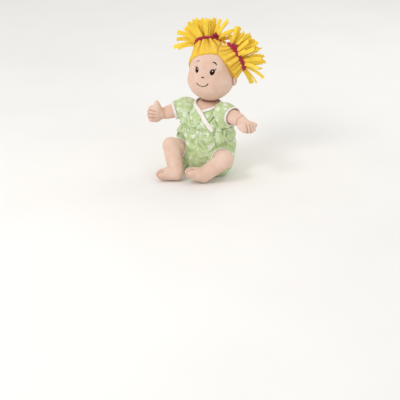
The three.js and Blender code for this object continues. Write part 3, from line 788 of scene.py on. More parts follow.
def make_cap(side):
    """One half of the felt hair, gathered into pleats at its band and sewn down along its edge."""
    axis = tie_axis(side)
    axes = frame_of(axis, (0, 0, 1))
    reach, ring = TIE["reach"][side], TIE["ring"][side]
    part_normal = unit(PARTING[1])
    part_at = PARTING[0] * part_normal[0]
    hair_normal, hair_at = unit(HAIRLINE[side][0]), HAIRLINE[side][1]
    first = math.atan2(ring - TIE["cord"][side] - 0.6, reach)
    around, steps, folds = 288, 56, 19
    slope = 0.437  # how fast the bunched felt narrows towards its band
    drawn_in = 0.16  # how far below the band's edge the felt is drawn in, as an angle at the head's centre

    def directions(turn, psi):
        """Rays from the head's centre, psi away from the tail's axis."""
        return unit(np.cos(psi)[:, None] * axis + np.sin(psi)[:, None] * spoke(axes, turn))

    def felt_radius(psi, rays):
        """The felt lies on the skull and rises in a cone to its band."""
        cone = (ring + 1 + slope * (reach - 3.4)) / (np.sin(psi) + slope * np.cos(psi))
        return smooth_max(skull_radius(rays, CAP), cone, 1.6)

    rows, painted_shade_values = [], []
    psi_all = np.linspace(first, math.radians(165), 500)
    rng = np.random.default_rng(SEED["cap"][side])
    centres = np.sort((np.arange(folds) + rng.uniform(-0.28, 0.28, folds)) / folds * 2 * math.pi)
    depths = rng.uniform(0.55, 1.0, folds)
    reaches = rng.uniform(0.35, 1.0, folds)
    for turn in turns(around):
        rays = directions(turn, psi_all)
        p = rays * felt_radius(psi_all, rays)[:, None]
        inside = (p @ hair_normal > hair_at + 0.3) & ((p @ part_normal - part_at) * SIDES[side] > 0.15)
        stop = int(np.argmax(~inside)) if (~inside).any() else len(psi_all) - 1
        last = psi_all[max(stop, 4)]
        psi = first + (last - first) * np.linspace(0, 1, steps) ** 1.15
        rays = directions(turn, psi)
        radius = felt_radius(psi, rays)
        radius = np.where(psi < first + drawn_in, radius - 2.2 * (1 - (psi - first) / drawn_in), radius)
        # millimetres from the band and to the edge
        arc = (psi - first) * 52
        left = np.maximum((last - psi) * 50, 0)
        away = np.abs(wrapped(turn - centres))
        crease_and_painted_shade = np.zeros(steps)
        for gap, depth, long in zip(away, depths, reaches):
            wide = 0.05 + 0.035 * arc / 40
            fade = np.exp(-(arc / (34 * long + 10)) ** 2)
            crease_and_painted_shade = np.maximum(crease_and_painted_shade, depth * np.exp(-(gap / wide) ** 2 * 0.5) * fade)
        radius = radius + 1.6 * np.exp(-(arc / 30) ** 2) - 3.6 * crease_and_painted_shade
        radius = radius - 2.6 * np.exp(-left / 1.8)
        rows.append(rays * radius[:, None])
        # painted shade in the pleats' valleys and along the edge
        painted_shade_values.append(np.maximum(crease_and_painted_shade, 0.65 * np.exp(-left / 1.4)))
    painted_shade_values = np.array(painted_shade_values).T
    local = np.array(rows).transpose(1, 0, 2).reshape(-1, 3)
    local = local + unit(local) * (0.3 * noise(local, 9, 8) + 0.15 * noise(local, 3.5, 9))[:, None]
    local = bulged(local, side)
    # the edge is turned under, down onto the head
    edge = local[-around:]
    sewn = unit(edge) * skull_radius(unit(edge), -1.2)[:, None]
    hem = [edge + (sewn - edge) * t for t in (0.25, 0.5, 0.75, 1.0)]
    local = np.concatenate([local, *hem])
    # painted shade on the turned-under hem
    painted_shade_values = np.concatenate([painted_shade_values, np.full((len(hem), around), 0.65)])
    _, faces = grid(local.reshape(-1, around, 3))
    obj = away_from(HEAD_AT, new_object(f"hair_cap_{side}_felt", in_head(local), faces, HAIR))
    tint(obj, painted_shade_values.ravel())
    applied(obj, "SOLIDIFY", thickness=FELT * MM, offset=-1.0, use_rim=True)
    fitted(obj, "head", [f"hair_cap_{side}"])


def make_tie(side):
    """A covered elastic, puckered all round, with its knot on top."""
    axis = tie_axis(side)
    axes = frame_of(axis, (0, 0, 1))
    at = axis * TIE["reach"][side]
    knot_turn = math.radians({"left": 52, "right": 62}[side])
    low_end = math.radians({"left": 300, "right": 150}[side])
    rows, painted_shade_values = [], []
    for turn in turns(220):
        out = spoke(axes, turn)
        ripple = math.sin(turn * 31 + 1.4 * math.sin(turn * 5))
        away = abs(wrapped(turn - low_end))
        thick = TIE["cord"][side] * (0.9 + 0.13 * ripple + 0.4 * math.exp(-(away / 0.5) ** 2))
        row = []
        for t in turns(18):
            wide, high = thick * 0.86 * math.cos(t), thick * 1.12 * math.sin(t)
            row.append(at + out * (TIE["ring"][side] + wide) + axis * high)
            # painted shade in the valleys of the puckers
            painted_shade_values.append(max(0.0, -ripple) * 0.7)
        rows.append(row)
    points, faces = torus(rows)
    points = bulged(points, side)
    # the knot: two short loops and the pinched middle between them
    out = spoke(axes, knot_turn)
    middle = bulged((at + out * TIE["ring"][side])[None], side)[0] + axis * 3 + out * 1.6
    way = np.cross(axis, out)
    shapes = [(points, faces)]
    for where, half in (((0, 0.6, 2.2), (3.6, 3.2, 4.2)), ((-4.2, 0.8, 1.2), (3.8, 2.4, 2.9)),
                        ((4.2, 0.8, 1.2), (3.8, 2.4, 2.9)), ((1.6, 0.6, 5.4), (2.0, 1.8, 3.6))):
        lump, lump_faces = ellipsoid(middle + way * where[0] + out * where[1] + axis * where[2], half,
                                     np.stack([way, out, axis], axis=1))
        lump = lump + unit(lump - middle) * (0.5 * np.sin(lump @ way * 2.4))[:, None]
        shapes.append((lump, lump_faces))
        # painted shade in the hollows between the knot's lumps
        painted_shade_values += list(0.5 + 0.5 * np.sin(lump @ way * 2.4 + 3))
    points, faces = merged(shapes)
    obj = outwards(new_object(f"hair_tie_{side}_band", in_head(points), faces, BAND[side]))
    tint(obj, painted_shade_values)
    fitted(obj, "head", [f"hair_tie_{side}"])


def strip_shape(start, end, bend, width, face_normal, twist):
    """One cut strip of felt: a flat ribbon along a bent line."""
    rows = []
    for t in np.arange(10) / 9:
        p = (1 - t) ** 2 * start + 2 * t * (1 - t) * bend + t * t * end
        p = p + face_normal * (1.5 * t * math.sin(5.5 * t + 9 * twist))
        d = unit(2 * (1 - t) * (bend - start) + 2 * t * (end - bend))
        n = unit(face_normal - d * (face_normal @ d))
        n = rotation(d, twist * t) @ n
        side = np.cross(d, n)
        w = width / 2 * (0.82 + 0.18 * min(1, t * 3))
        h = FELT / 2
        corners = [(-w, -h), (-w * 0.5, -h * 1.06), (w * 0.5, -h * 1.06), (w, -h),
                   (w, h), (w * 0.5, h * 1.06), (-w * 0.5, h * 1.06), (-w, h)]
        rows.append([p + side * a + n * b for a, b in corners])
    return grid(rows, caps=True)


GOLDEN_ANGLE = 2.39996
TOP = 302  # no strip ends higher
FORWARDS = (0.35, -1, 0.35)
# each bunch: how many strips, how far they lean out and how much their ends drop, and then the strips that stick
# out of it, as lean and turn in degrees, length, width and drop
TAILS = {
    "left": {"count": 52, "lean": 38, "drop": 4, "strays": [
        (62, 262, 24, 9.5, 31), (58, 276, 30, 3.2, 25), (60, 304, 46, 6, 6), (54, 330, 42, 7, 4), (60, 20, 34, 7, 2),
        (42, 100, 38, 7, 0), (50, 150, 40, 7, 0), (78, 186, 36, 7, 2), (70, 125, 24, 7, 0), (74, 148, 24, 7, 0),
        (70, 230, 34, 7, 8), (66, 208, 38, 7, 4)]},
    "right": {"count": 44, "lean": 34, "drop": 2, "strays": [
        (50, 128, 50, 8, 0), (56, 140, 46, 7.5, 0), (72, 164, 47, 9, 0), (80, 175, 44, 7.5, 0), (88, 204, 50, 9.5, 0),
        (94, 195, 42, 7, 2), (60, 52, 46, 7.5, 0), (84, 44, 43, 7.5, 0), (72, 28, 42, 7, 0), (66, 10, 36, 7, 0),
        (60, 230, 40, 7, 0), (64, 262, 42, 8, 2), (62, 292, 42, 8, 2), (60, 322, 40, 7, 2), (86, 8, 30, 7, 0),
        (90, 338, 26, 6, 0)]},
}


def make_pigtail(side):
    """A full bunch of felt strips that spreads from the ring like a brush."""
    axis = unit(IN_HEAD @ tie_axis(side))
    at = in_head(tie_axis(side) * TIE["reach"][side])
    axes = frame_of(axis, (0, 0, 1))
    rng = np.random.default_rng(SEED["pigtail"][side])
    tail = TAILS[side]
    ring = TIE["ring"][side] - TIE["cord"][side] - 3
    plan = []
    for i in range(tail["count"]):
        share = (i + 0.5) / tail["count"]
        turn = i * GOLDEN_ANGLE + rng.uniform(-0.25, 0.25)
        plan.append((4 + tail["lean"] * share ** 0.8, turn, rng.uniform(38, 50), rng.uniform(6.2, 8.6),
                     tail["drop"] * share, share))
    for lean, turn, long, width, drop in tail["strays"]:
        plan.append((lean, math.radians(turn), long, width, drop, 1.0))
    shapes, shades = [], []
    for lean, turn, long, width, drop, share in plan:
        tilt = math.radians(lean)
        out = spoke(axes, turn)
        direction = axis * math.cos(tilt) + out * math.sin(tilt)
        root = at + out * (2 + (ring - 2) * share ** 0.6) - axis * 1.5
        end = root + axis * 4 + direction * long + vec((0, 0, -drop)) + rng.uniform(-2.5, 2.5, 3)
        end[2] = min(end[2], TOP - rng.uniform(0, 5))
        bend = (root + end) / 2 + axis * 9 * math.sin(tilt) + rng.uniform(-3, 3, 3)
        flat = unit(np.cross(np.cross(axis, out), direction))
        flat = rotation(direction, rng.normal(0, 0.5)) @ flat
        if len(shapes) >= tail["count"]:  # the ones that stick out show their faces forwards
            flat = unit(vec(FORWARDS) - direction * (vec(FORWARDS) @ direction))
        shape = strip_shape(root, end, bend, width, flat, rng.uniform(-0.8, 0.8))
        shapes.append(shape)
        shades += [rng.uniform(0, 0.4)] * len(shape[0])
    obj = outwards(new_object(f"pigtail_{side}_strips", *merged(shapes), STRIP))
    tint(obj, shades, "shade")
    applied(obj, "BEVEL", width=0.3 * MM, segments=1, limit_method="ANGLE")
    p = points_of(obj)
    # painted shade where the strips crowd together at the band
    tint(obj, 0.8 * np.exp(-np.maximum(np.linalg.norm(p - at, axis=1) - 10, 0) / 10))
    push(obj, 0.12 * noise(p, 3, 6))
    blended(obj)
    fitted(obj, None, [f"pigtail_{side}"])


# ---- body skin ----------------------------------------------------------------------------


def shoulder(side):
    return vec((SIDES[side] * SHOULDER["x"], SHOULDER["y"], SHOULDER["z"]))


def hip(side):
    return vec((SIDES[side] * HIP["x"], HIP["y"], HIP["z"]))


def make_torso():
    """The body's own skin follows its CAD solid, pocket and sockets included, with the edges softened."""
    obj = bpy.data.objects.new("torso_skin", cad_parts["torso"].data.copy())
    scene.collection.objects.link(obj)
    obj.data.materials.clear()
    obj.data.materials.append(SKIN)
    applied(obj, "REMESH", mode="VOXEL", voxel_size=2.0 * MM)
    applied(obj, "SMOOTH", factor=0.5, iterations=12)
    push(obj, 0.2 * noise(points_of(obj), 14, 2))
    p = points_of(obj)
    # the chest rises round the neck
    from_neck = np.hypot(*(p[:, :2] - NECK).T)
    p[:, 2] += 2.8 * smoothstep((26 - from_neck) / 9) * smoothstep((p[:, 2] - 136) / 5)
    set_points(obj, p)
    # painted shade in a ring round the neck, under the chin
    tint(obj, 0.55 * np.exp(-((from_neck - 15) / 6) ** 2) * (p[:, 2] > 128))
    fitted(obj, "body", ["torso"])


def make_neck():
    """A short stuffed stub that widens into the head's seam."""
    x, y = NECK
    # radius and height, from inside the collar up to the head's seam
    profile = vec([(6, 123.6), (11.4, 123.6), (12.4, 125), (12.6, 132), (12.4, 140), (12.7, 143.6), (14.8, 145.2),
                   (17.5, 147.6), (19.5, 150.2), (14, 151.5), (4, 151.6)])
    knots, fine = np.linspace(0, 1, len(profile)), np.linspace(0, 1, 48)
    turn = turns(64)
    rows = []
    for radius, height in zip(*(np.interp(fine, knots, profile[:, k]) for k in range(2))):
        tucked = radius * (1 + 0.02 * np.sin(turn * 9 + 1) * math.exp(-((height - 142) / 4) ** 2))
        rows.append(np.stack([x + tucked * np.cos(turn), y + tucked * np.sin(turn), np.full(64, height)], axis=1))
    obj = outwards(new_object("neck_skin", *grid(rows, caps=True), SKIN))
    applied(obj, "SMOOTH", factor=0.5, iterations=3)
    p = points_of(obj)
    # painted shade: the neck is darker all over and most under the head's seam
    tint(obj, 0.75 * np.exp(-((p[:, 2] - 146) / 4) ** 2) + 0.25)
    blended(obj)
    fitted(obj, None, ["neck"])


def make_arm(side):
    """Arm and hand in one skin, with the crease at the wrist, a thumb and stitched fingers."""
    root = shoulder(side)
    pose = POSE[side]
    wrist, hand = vec(pose["wrist"]), vec(pose["hand"])
    axes = frame_of(hand - wrist, pose["across"])
    place = lambda p: vec(p) @ axes.T + hand
    half_x, half_y, half_z = HAND_HALF
    shapes = [limb(root, wrist, SHOULDER["ball"] - 0.4, WRIST - 0.3),
              ellipsoid(place((0, -1.5, -0.5)), (half_x, half_y - 1, half_z - 1), axes),
              limb(place((0, -7, 8)), place((0, 0.5, 20.5)), 7.2, 5.4)]
    # where the fingers end in the hand's own z and y
    fingers = [(-14.5, 5.5), (-6.8, 10.0), (1.2, 11.2), (9.0, 8.8)]
    for z, y in fingers:
        shapes.append(limb(place((0, y - 10, z * 0.9)), place((0, y + 2.2, z)), 6.4, 4.9))
    obj = stuffed(f"arm_{side}_skin", shapes, voxel=1.35, rounds=10)
    crease_and_painted_shade = np.zeros(len(obj.data.vertices))
    for (z0, y0), (z1, y1) in zip(fingers, fingers[1:]):
        z, y = (z0 + z1) / 2, max(y0, y1)
        amount = groove(obj, place((0, y + 7, z * 1.04)), place((0, y - 7, z * 0.85)), axes[:, 0], 0.95, 1.5)
        crease_and_painted_shade = np.maximum(crease_and_painted_shade, 0.85 * amount)
    # the crease where the hand meets the arm
    across = unit(unit(wrist - root) + unit(hand - wrist))
    p = points_of(obj)
    off = (p - wrist) @ across
    band = np.exp(-((off - 0.5) / 2.2) ** 2)
    push(obj, -1.5 * band - np.exp(-((off - 0.5) / 7) ** 2))
    # painted shade in the finger grooves and the wrist crease
    tint(obj, np.maximum(crease_and_painted_shade, 0.4 * band))
    blended(obj)
    fitted(obj, None, [f"arm_{side}", f"hand_{side}"])


def make_leg(side):
    """Thigh, calf and foot in one skin, with toes stitched into the foot."""
    root = hip(side)
    pose = POSE[side]
    knee, ankle, toes = vec(pose["knee"]), vec(pose["ankle"]), vec(pose["toes"])
    forward = unit(toes - ankle)
    across = unit(np.cross(forward, (0, 0, 1)))
    up = np.cross(across, forward)
    shapes = [limb(root, knee, HIP["ball"] - 0.4, LEG["knee"] - 0.3),
              limb(knee, ankle, LEG["calf"], LEG["ankle"] - 0.2),
              limb(ankle, toes - forward * 1.5, FOOT["heel"] - 0.2, FOOT["toe"] - 0.4)]
    spots = []
    # the toes from the big one outwards: the place across the foot and the radius
    for wide, radius in ((-8.6, 4.6), (-3.4, 4.2), (1.3, 3.9), (5.6, 3.6), (9.4, 3.4)):
        wide = wide * SIDES[side]
        tip = toes + across * wide + forward * (8.2 - 0.055 * wide * wide) + up * 0.5
        spots.append(tip)
        shapes.append(limb(tip - forward * 7, tip - forward * 0.5, radius + 1.2, radius))
    obj = stuffed(f"leg_{side}_skin", shapes, voxel=1.5, rounds=11)
    crease_and_painted_shade = np.zeros(len(obj.data.vertices))
    for one, other in zip(spots, spots[1:]):
        tip = (one + other) / 2
        amount = groove(obj, tip + forward * 4, tip - forward * 9, up, 0.85, 1.3)
        crease_and_painted_shade = np.maximum(crease_and_painted_shade, 0.85 * amount)
    # painted shade in the grooves between the toes
    tint(obj, crease_and_painted_shade)
    kept_above(obj, 0.35)
    blended(obj)
    fitted(obj, None, [f"thigh_{side}", f"lower_leg_{side}"])


# ---- romper -------------------------------------------------------------------------------


def rounded_outline():
    """Heights of the romper and its half width at each, with the outline's corners rounded."""
    heights = np.linspace(0, 145, 291)
    widths = np.interp(heights, [z for _, z in ROMPER_OUTLINE], [w for w, _ in ROMPER_OUTLINE])
    kernel = np.exp(-np.linspace(-2, 2, 17) ** 2)
    return heights, np.convolve(np.pad(widths, 8, "edge"), kernel / kernel.sum(), "valid")


OUTLINE = rounded_outline()


def width_at(z):
    return np.interp(z, *OUTLINE)


def round_trunk(turn, z, w):
    """A point on the leaning oval of half width w: turn 0 is the middle of the front, and a positive turn goes to
    the doll's left."""
    return np.stack([w * np.sin(turn), -DEPTH * w * np.cos(turn) + LEAN * z, z + 0 * turn], axis=-1)


def trunk_point(turn, z, offset=0.0):
    """A point of the romper, or of a layer over it."""
    return round_trunk(turn, z, width_at(z) + offset)


def hull_distance(points, balls):
    """How far points lie outside the convex skin round some balls."""
    count = 700  # directions spread evenly over the ball
    k = np.arange(count) + 0.5
    polar, turn = np.arccos(1 - 2 * k / count), math.pi * (1 + 5 ** 0.5) * k
    directions = np.stack([np.cos(turn) * np.sin(polar), np.sin(turn) * np.sin(polar), np.cos(polar)], axis=1)
    reach = np.max([directions @ c + r for c, r in balls], axis=0)
    return (points @ directions.T - reach).max(axis=1)


def leg_room(side, margin):
    """Balls round the space that a leg sweeps through at the romper's opening."""
    root, knee = hip(side), vec(POSE[side]["knee"])
    balls = [(root, HIP["clear"] + margin)]
    for lift in ROOM["hip"]:
        turned = rotation((-1, 0, 0), math.radians(lift))
        for point, radius in ((along(root, knee, 34), 26.0), (knee, LEG["knee"] + 1.2)):
            balls.append((turned @ (point - root) + root, radius + margin))
    return balls


def arm_room(side, margin):
    """Balls round the space that a sleeve sweeps through at the romper's opening."""
    root = shoulder(side)
    cuff = along(root, POSE[side]["wrist"], 29)
    balls = [(root, SHOULDER["clear"] + margin)]
    for up in ROOM["raise"]:
        for swing in ROOM["swing"]:
            turned = rotation((0, 0, 1), math.radians(swing)) @ rotation((0, -SIDES[side], 0), math.radians(up))
            balls.append((turned @ (cuff - root) + root, 21.4 + margin))
    return balls


def pleats(turn):
    """Fine irregular gathers round the waist, from -1 to 1, flatter under the arms."""
    t = turn
    calm = 1 - 0.6 * np.exp(-((np.abs(t) - 1.57) / 0.42) ** 2)
    return calm * (0.55 * np.sin(41 * t + 2.1 * np.sin(3 * t)) + 0.3 * np.sin(67 * t + 1.3 * np.sin(7 * t) + 1)
                   + 0.25 * np.sin(23 * t + 1.8 * np.sin(5 * t) + 2))


def waist_folds(turn, dz):
    """How far the cloth stands out near the waist: gathers that merge into fewer, softer folds."""
    dz = np.abs(dz)
    soft = 0.6 * np.sin(13 * turn + 1.7 * np.sin(2 * turn)) + 0.4 * np.sin(21 * turn + 2 * np.sin(3 * turn) + 0.7)
    return (1.9 * pleats(turn) * np.exp(-dz / 6) + 1.4 * soft * np.exp(-((dz - 9) / 12) ** 2)
            - 1.4 * np.exp(-((dz - 1) / 3) ** 2) + 1.0 * np.exp(-((dz - 9) / 6) ** 2))


# soft folds of the romper as turns and heights along their valleys, with how wide and how deep each is
FOLDS = [([(-1.0, 139), (-0.93, 122), (-0.85, 100)], 2.4, 3.6), ([(-1.15, 112), (-0.7, 104), (-0.45, 97)], 2.0, 2.4),
         ([(1.2, 139), (0.75, 124), (0.35, 107)], 2.4, 3.0), ([(0.72, 131), (0.82, 116), (0.78, 100)], 2.0, 2.6),
         ([(1.15, 137), (1.05, 122), (1.12, 108)], 2.4, 3.4), ([(1.1, 116), (1.35, 106), (1.5, 96)], 2.2, 2.6),
         ([(-0.75, 128), (-0.5, 118), (-0.2, 101)], 2.2, 1.8), ([(0.1, 112), (0.02, 104), (-0.05, 96)], 1.8, 1.6),
         ([(2.2, 138), (2.35, 118), (2.3, 99)], 2.8, 2.0), ([(-2.2, 138), (-2.3, 120), (-2.45, 98)], 2.8, 2.0),
         ([(2.9, 125), (2.7, 108), (2.75, 97)], 2.4, 1.3), ([(-2.85, 130), (-2.95, 112), (-2.8, 97)], 2.4, 1.3),
         ([(-1.7, 110), (-1.9, 103), (-1.95, 96)], 2.2, 1.4), ([(1.75, 112), (1.9, 104), (2.0, 96)], 2.2, 1.4),
         ([(0.45, 62), (0.28, 74), (0.3, 86)], 3.0, 2.2), ([(-0.4, 66), (-0.3, 76), (-0.36, 87)], 3.0, 2.0),
         ([(0.12, 34), (0.04, 52), (0.1, 70)], 3.2, 1.8), ([(-0.14, 40), (-0.1, 58), (-0.02, 78)], 2.8, 1.6),
         ([(1.25, 55), (1.1, 70), (1.2, 86)], 3.0, 2.0), ([(-1.2, 57), (-1.15, 70), (-1.05, 86)], 3.0, 2.0),
         ([(1.9, 30), (2.0, 55), (1.85, 84)], 3.4, 2.2), ([(-1.9, 30), (-2.1, 55), (-1.95, 84)], 3.4, 2.2),
         ([(2.6, 25), (2.5, 50), (2.65, 82)], 3.4, 2.0), ([(-2.7, 22), (-2.6, 48), (-2.75, 80)], 3.4, 2.0),
         ([(3.1, 40), (3.05, 62), (3.14, 86)], 3.0, 1.6), ([(0.75, 66), (0.72, 76), (0.66, 87)], 2.6, 1.4),
         ([(-0.8, 70), (-0.75, 78), (-0.7, 87)], 2.6, 1.4)]


def folded(turn, z):
    """How far the romper's surface stands out or sinks because of its folds."""
    turn, z = np.broadcast_arrays(vec(turn), vec(z))
    total = np.zeros(turn.shape)
    for ((t0, z0), (t1, _), (t2, z2)), width, depth in FOLDS:
        along_fold = np.clip((z - z0) / (z2 - z0), 0, 1)
        middle = (1 - along_fold) ** 2 * t0 + 2 * along_fold * (1 - along_fold) * t1 + along_fold ** 2 * t2
        gap = wrapped(turn - middle) * 48
        beyond = np.maximum(0, np.maximum((z - max(z0, z2)), (min(z0, z2) - z)))
        fade = np.exp(-(beyond / 4) ** 2) * (0.35 + 0.65 * np.sin(math.pi * np.clip(along_fold, 0.08, 0.92)))
        total += depth * fade * (0.55 * np.exp(-((np.abs(gap) - 2.1 * width) / (1.3 * width)) ** 2)
                                 - np.exp(-(gap / width) ** 2))
    return total


def crumpled(obj, pinned, grow, cap):
    """Lets a sheet that is a little too large for its place settle into folds by cloth simulation, held where
    pinned is 1. Points move at most cap millimetres."""
    frames = 18
    rest = points_of(obj)
    group = obj.vertex_groups.new(name="pin")
    for value in (0.0, 1.0):
        members = [int(i) for i in np.flatnonzero(pinned == value)]
        if members:
            group.add(members, value, "REPLACE")
    modifier = obj.modifiers.new("cloth", "CLOTH")
    for key, value in {"quality": 6, "mass": 0.15, "tension_stiffness": 12, "compression_stiffness": 12,
                       "shear_stiffness": 4, "bending_stiffness": 0.25, "shrink_min": -grow, "shrink_max": -grow,
                       "use_pressure": True, "uniform_pressure_force": 0.6, "vertex_group_mass": "pin",
                       "pin_stiffness": 3}.items():
        setattr(modifier.settings, key, value)
    modifier.settings.effector_weights.gravity = 0
    modifier.collision_settings.use_collision = False
    modifier.collision_settings.use_self_collision = False
    modifier.point_cache.frame_start, modifier.point_cache.frame_end = 1, frames
    for f in range(1, frames + 1):
        scene.frame_set(f)
    graph = bpy.context.evaluated_depsgraph_get()
    moved = rows_of(obj.evaluated_get(graph).to_mesh().vertices, "co") / MM - rest
    obj.evaluated_get(graph).to_mesh_clear()
    obj.modifiers.clear()
    scene.frame_set(1)
    size = np.linalg.norm(moved, axis=1, keepdims=True)
    moved *= np.minimum(1, cap / np.maximum(size, 1e-9))
    set_points(obj, rest + moved * (1 - pinned)[:, None])


def ordered_loop(edge, origin, axis, count):
    """The cut's points in order round an axis, at even angles."""
    axes = frame_of(axis, (0, 0, 1))
    q = (edge - origin) @ axes
    turn = np.arctan2(q[:, 2], q[:, 0])
    order = np.argsort(turn)
    turn, sorted_edge = turn[order], edge[order]
    even = np.linspace(-math.pi, math.pi, count, endpoint=False)
    loop = np.stack([np.interp(even, turn, sorted_edge[:, k], period=2 * math.pi) for k in range(3)], axis=1)
    for _ in range(4):
        loop = (np.roll(loop, 1, axis=0) + 2 * loop + np.roll(loop, -1, axis=0)) / 4
    return loop, even, axes


def neckline(side):
    """Turns and heights along a binding, close together; one radian counts as much as 25 mm of height."""
    return relaxed(evened(NECKLINES[side], 130, (25, 1)), 78)


def make_romper():
    edges = {}
    turn = np.linspace(-math.pi, math.pi, 300, endpoint=False)

    def turn_of(p):
        return np.arctan2(p[:, 0], -(p[:, 1] - LEAN * p[:, 2]) / DEPTH)

    def below(p, side):
        """How far points lie below a neckline."""
        line = neckline(side)
        order = np.argsort(line[:, 0])
        return np.interp(turn_of(p), line[order, 0], line[order, 1]) - p[:, 2]

    def shaped(p, f):
        for side in SIDES:
            p, f, edge = clip(p, f, hull_distance(p, arm_room(side, -0.2)))
            edges.setdefault("arm_" + side, edge)
        return p, f

    def panel(name, points, faces, grow, cap, replaced):
        obj = finish_cloth(new_object(name, points, faces, PRINT), grow, cap)
        fitted(obj, "body", [replaced])

    # bodice: back, sides and the left front under the wrap
    heights = np.linspace(WAIST[1] - 0.5, COLLAR, 60)
    p, f = shaped(*grid([trunk_point(turn, z, waist_folds(turn, z - WAIST[1]) + 0.8 * folded(turn, z) - 0.4)
                         for z in heights]))
    p, f, _ = clip(p, f, np.where(turn_of(p) > 0.02, below(p, "left"), below(p, "right")) + 0.5)
    panel("romper_bodice_cloth", p, f, 0.05, 1.6, "romper_bodice")

    # wrap panel over the front
    half = np.linspace(-WRAP_HALF, WRAP_HALF, 200)
    p, f = shaped(*grid([trunk_point(half, z, 1.5 + waist_folds(half, z - WAIST[1]) + folded(half, z))
                         for z in heights], closed=False))
    p, f, _ = clip(p, f, below(p, "right") + 0.5)
    panel("romper_wrap_cloth", p, f, 0.06, 1.8, "romper_wrap_panel")

    # waist: pulled in along its middle, with its two edges tucked under
    rows = []
    middle, half_height = sum(WAIST) / 2, 6
    for s in np.linspace(-1, 1, 25):
        z = middle + s * half_height
        tucked = smoothstep((abs(s) - 0.76) / 0.24)
        offset = -0.8 + 3.2 * s * s - 4.6 * tucked
        rows.append(trunk_point(turn, z, offset + (1.3 - 0.5 * tucked) * pleats(turn)))
    casing = away_from(vec((0, LEAN * middle, middle)), new_object("waist_casing_cloth", *grid(rows), PRINT))
    # painted shade in the valleys of the gathers
    tint(casing, 0.85 * np.clip(-pleats(turn_of(points_of(casing))) - 0.1, 0, 1))
    applied(casing, "SOLIDIFY", thickness=SLEEVE_CLOTH * MM, offset=-1.0, use_rim=True)
    fitted(casing, "body", ["waist_elastic_casing"])

    # seat, from the flat that the doll sits on up to the waist
    profile = [(1, 0.25), (14, 0.25), (28, 0.25), (38, 0.3), (43, 1.2), (47.5, 4.2), (51.2, 8.5), (55.5, 16),
               (58.5, 25), (60.2, 36), (60.9, 47), (60.6, 60), (59.6, 72), (58.2, 81), (56.9, 87.5)]
    rows = []
    for radius, z in relaxed(evened(profile, 64), 3):
        swell = 2.2 * math.exp(-((z - 62) / 22) ** 2)
        w = radius + swell + waist_folds(turn, z - WAIST[0]) + folded(turn, z) * smoothstep((z - 8) / 18)
        rows.append(round_trunk(turn, z, w))
    p, f = grid(rows)
    for side in SIDES:
        p, f, edges["leg_" + side] = clip(p, f, hull_distance(p, leg_room(side, -0.3)))
    panel("romper_seat_cloth", p, f, 0.05, 1.6, "romper_seat")
    return edges


def finish_cloth(obj, grow, cap):
    """Settles a body panel into folds, paints shade into its fold valleys and gives it thickness."""
    p = points_of(obj)
    away_from(p.mean(axis=0), obj)
    bm = bmesh.new()
    bm.from_mesh(obj.data)
    rim = np.array([any(e.is_boundary for e in v.link_edges) for v in bm.verts])
    bm.free()
    pinned = rim.astype(float)
    pinned[p[:, 2] < 1.5] = 1  # where the doll sits on it
    crumpled(obj, pinned, grow, cap)
    kept_above(obj, 0.25)
    # painted shade in the fold valleys
    paint_hollow_shade(obj)
    return applied(obj, "SOLIDIFY", thickness=CLOTH * MM, offset=-1.0, use_rim=True)


def paint_hollow_shade(obj, gain=1.3, extra_shade=0.0):
    """Paints shade into the valleys of a folded sheet, and more painted shade wherever the last argument is above 0.
    """
    bm = bmesh.new()
    bm.from_mesh(obj.data)
    value = np.zeros(len(bm.verts))
    for v in bm.verts:
        around = [e.other_vert(v).co for e in v.link_edges]
        if around:
            middle = sum(around[1:], around[0].copy()) / len(around)
            size = sum((c - v.co).length for c in around) / len(around)
            value[v.index] = (middle - v.co).dot(v.normal) / max(size, 1e-9)
    for _ in range(3):
        value = np.array([(value[v.index] + sum(value[e.other_vert(v).index] for e in v.link_edges))
                          / (1 + len(v.link_edges)) for v in bm.verts])
    bm.free()
    tint(obj, gain * 6 * np.clip(value - 0.01, 0, 1) + extra_shade)


def funnel(name, loop, turn, axes, root, reach, radius, puff, gathers, parts, seed):
    """Cloth from a sewn edge to the end of a short sleeve or leg, with gathers and soft folds. parts says, for each
    stretch of it, the name's ending, where the stretch starts and stops, and the two bodies it bridges. Returns the
    last stretch."""
    axis = axes[:, 1]
    count = len(loop)
    out = spoke(axes, turn)
    end = root + axis * reach + out * radius
    span = np.linalg.norm(end - loop, axis=1, keepdims=True)
    leave = unit(out * 0.9 + axis * 0.5)
    c1, c2 = loop + leave * span * 0.4, end - axis * span * 0.35 + out * puff
    phase = np.random.default_rng(seed).uniform(0, 6.28, 4)  # so that no two ends fold alike

    def row(t):
        line = (1 - t) ** 3 * loop + 3 * t * (1 - t) ** 2 * c1 + 3 * t * t * (1 - t) * c2 + t ** 3 * end
        fold = 0.55 * np.sin(5 * turn + phase[0] + 1.5 * t) + 0.45 * np.sin(9 * turn + phase[1] - t)
        fine = np.sin(26 * turn + phase[2] + 2 * np.sin(3 * turn))
        lift = gathers * (fold * math.sin(math.pi * t) * 1.1 + 0.5 * fine * t ** 4 + 0.4 * fine * (1 - t) ** 5)
        return line + out * lift[:, None]

    for ending, first, last, bodies in parts:
        steps = np.linspace(first, last, 8 + round(18 * (last - first)))
        obj = new_object(name + ending, *grid([row(t) for t in steps]), PRINT)
        share = np.repeat(smoothstep((steps - first) / (last - first)), count)
        place = np.repeat(steps, count)
        tint(obj, share, "loft")
        p = points_of(obj)
        away_from(root + axis * ((p - root) @ axis)[:, None], obj)
        # painted shade in the fold valleys, with more painted shade at the sewn edge and at the open end
        paint_hollow_shade(obj, 1.0, 0.7 * np.exp(-place / 0.03) + 0.5 * np.exp(-(1 - place) / 0.05))
        applied(obj, "SOLIDIFY", thickness=SLEEVE_CLOTH * MM, offset=-1.0, use_rim=True)
        stored = np.zeros(len(obj.data.vertices), np.float32)
        obj.data.attributes["loft"].data.foreach_get("value", stored)
        obj.data.attributes.remove(obj.data.attributes["loft"])
        kept_above(obj, 0.4)
        blended(obj)
    return obj


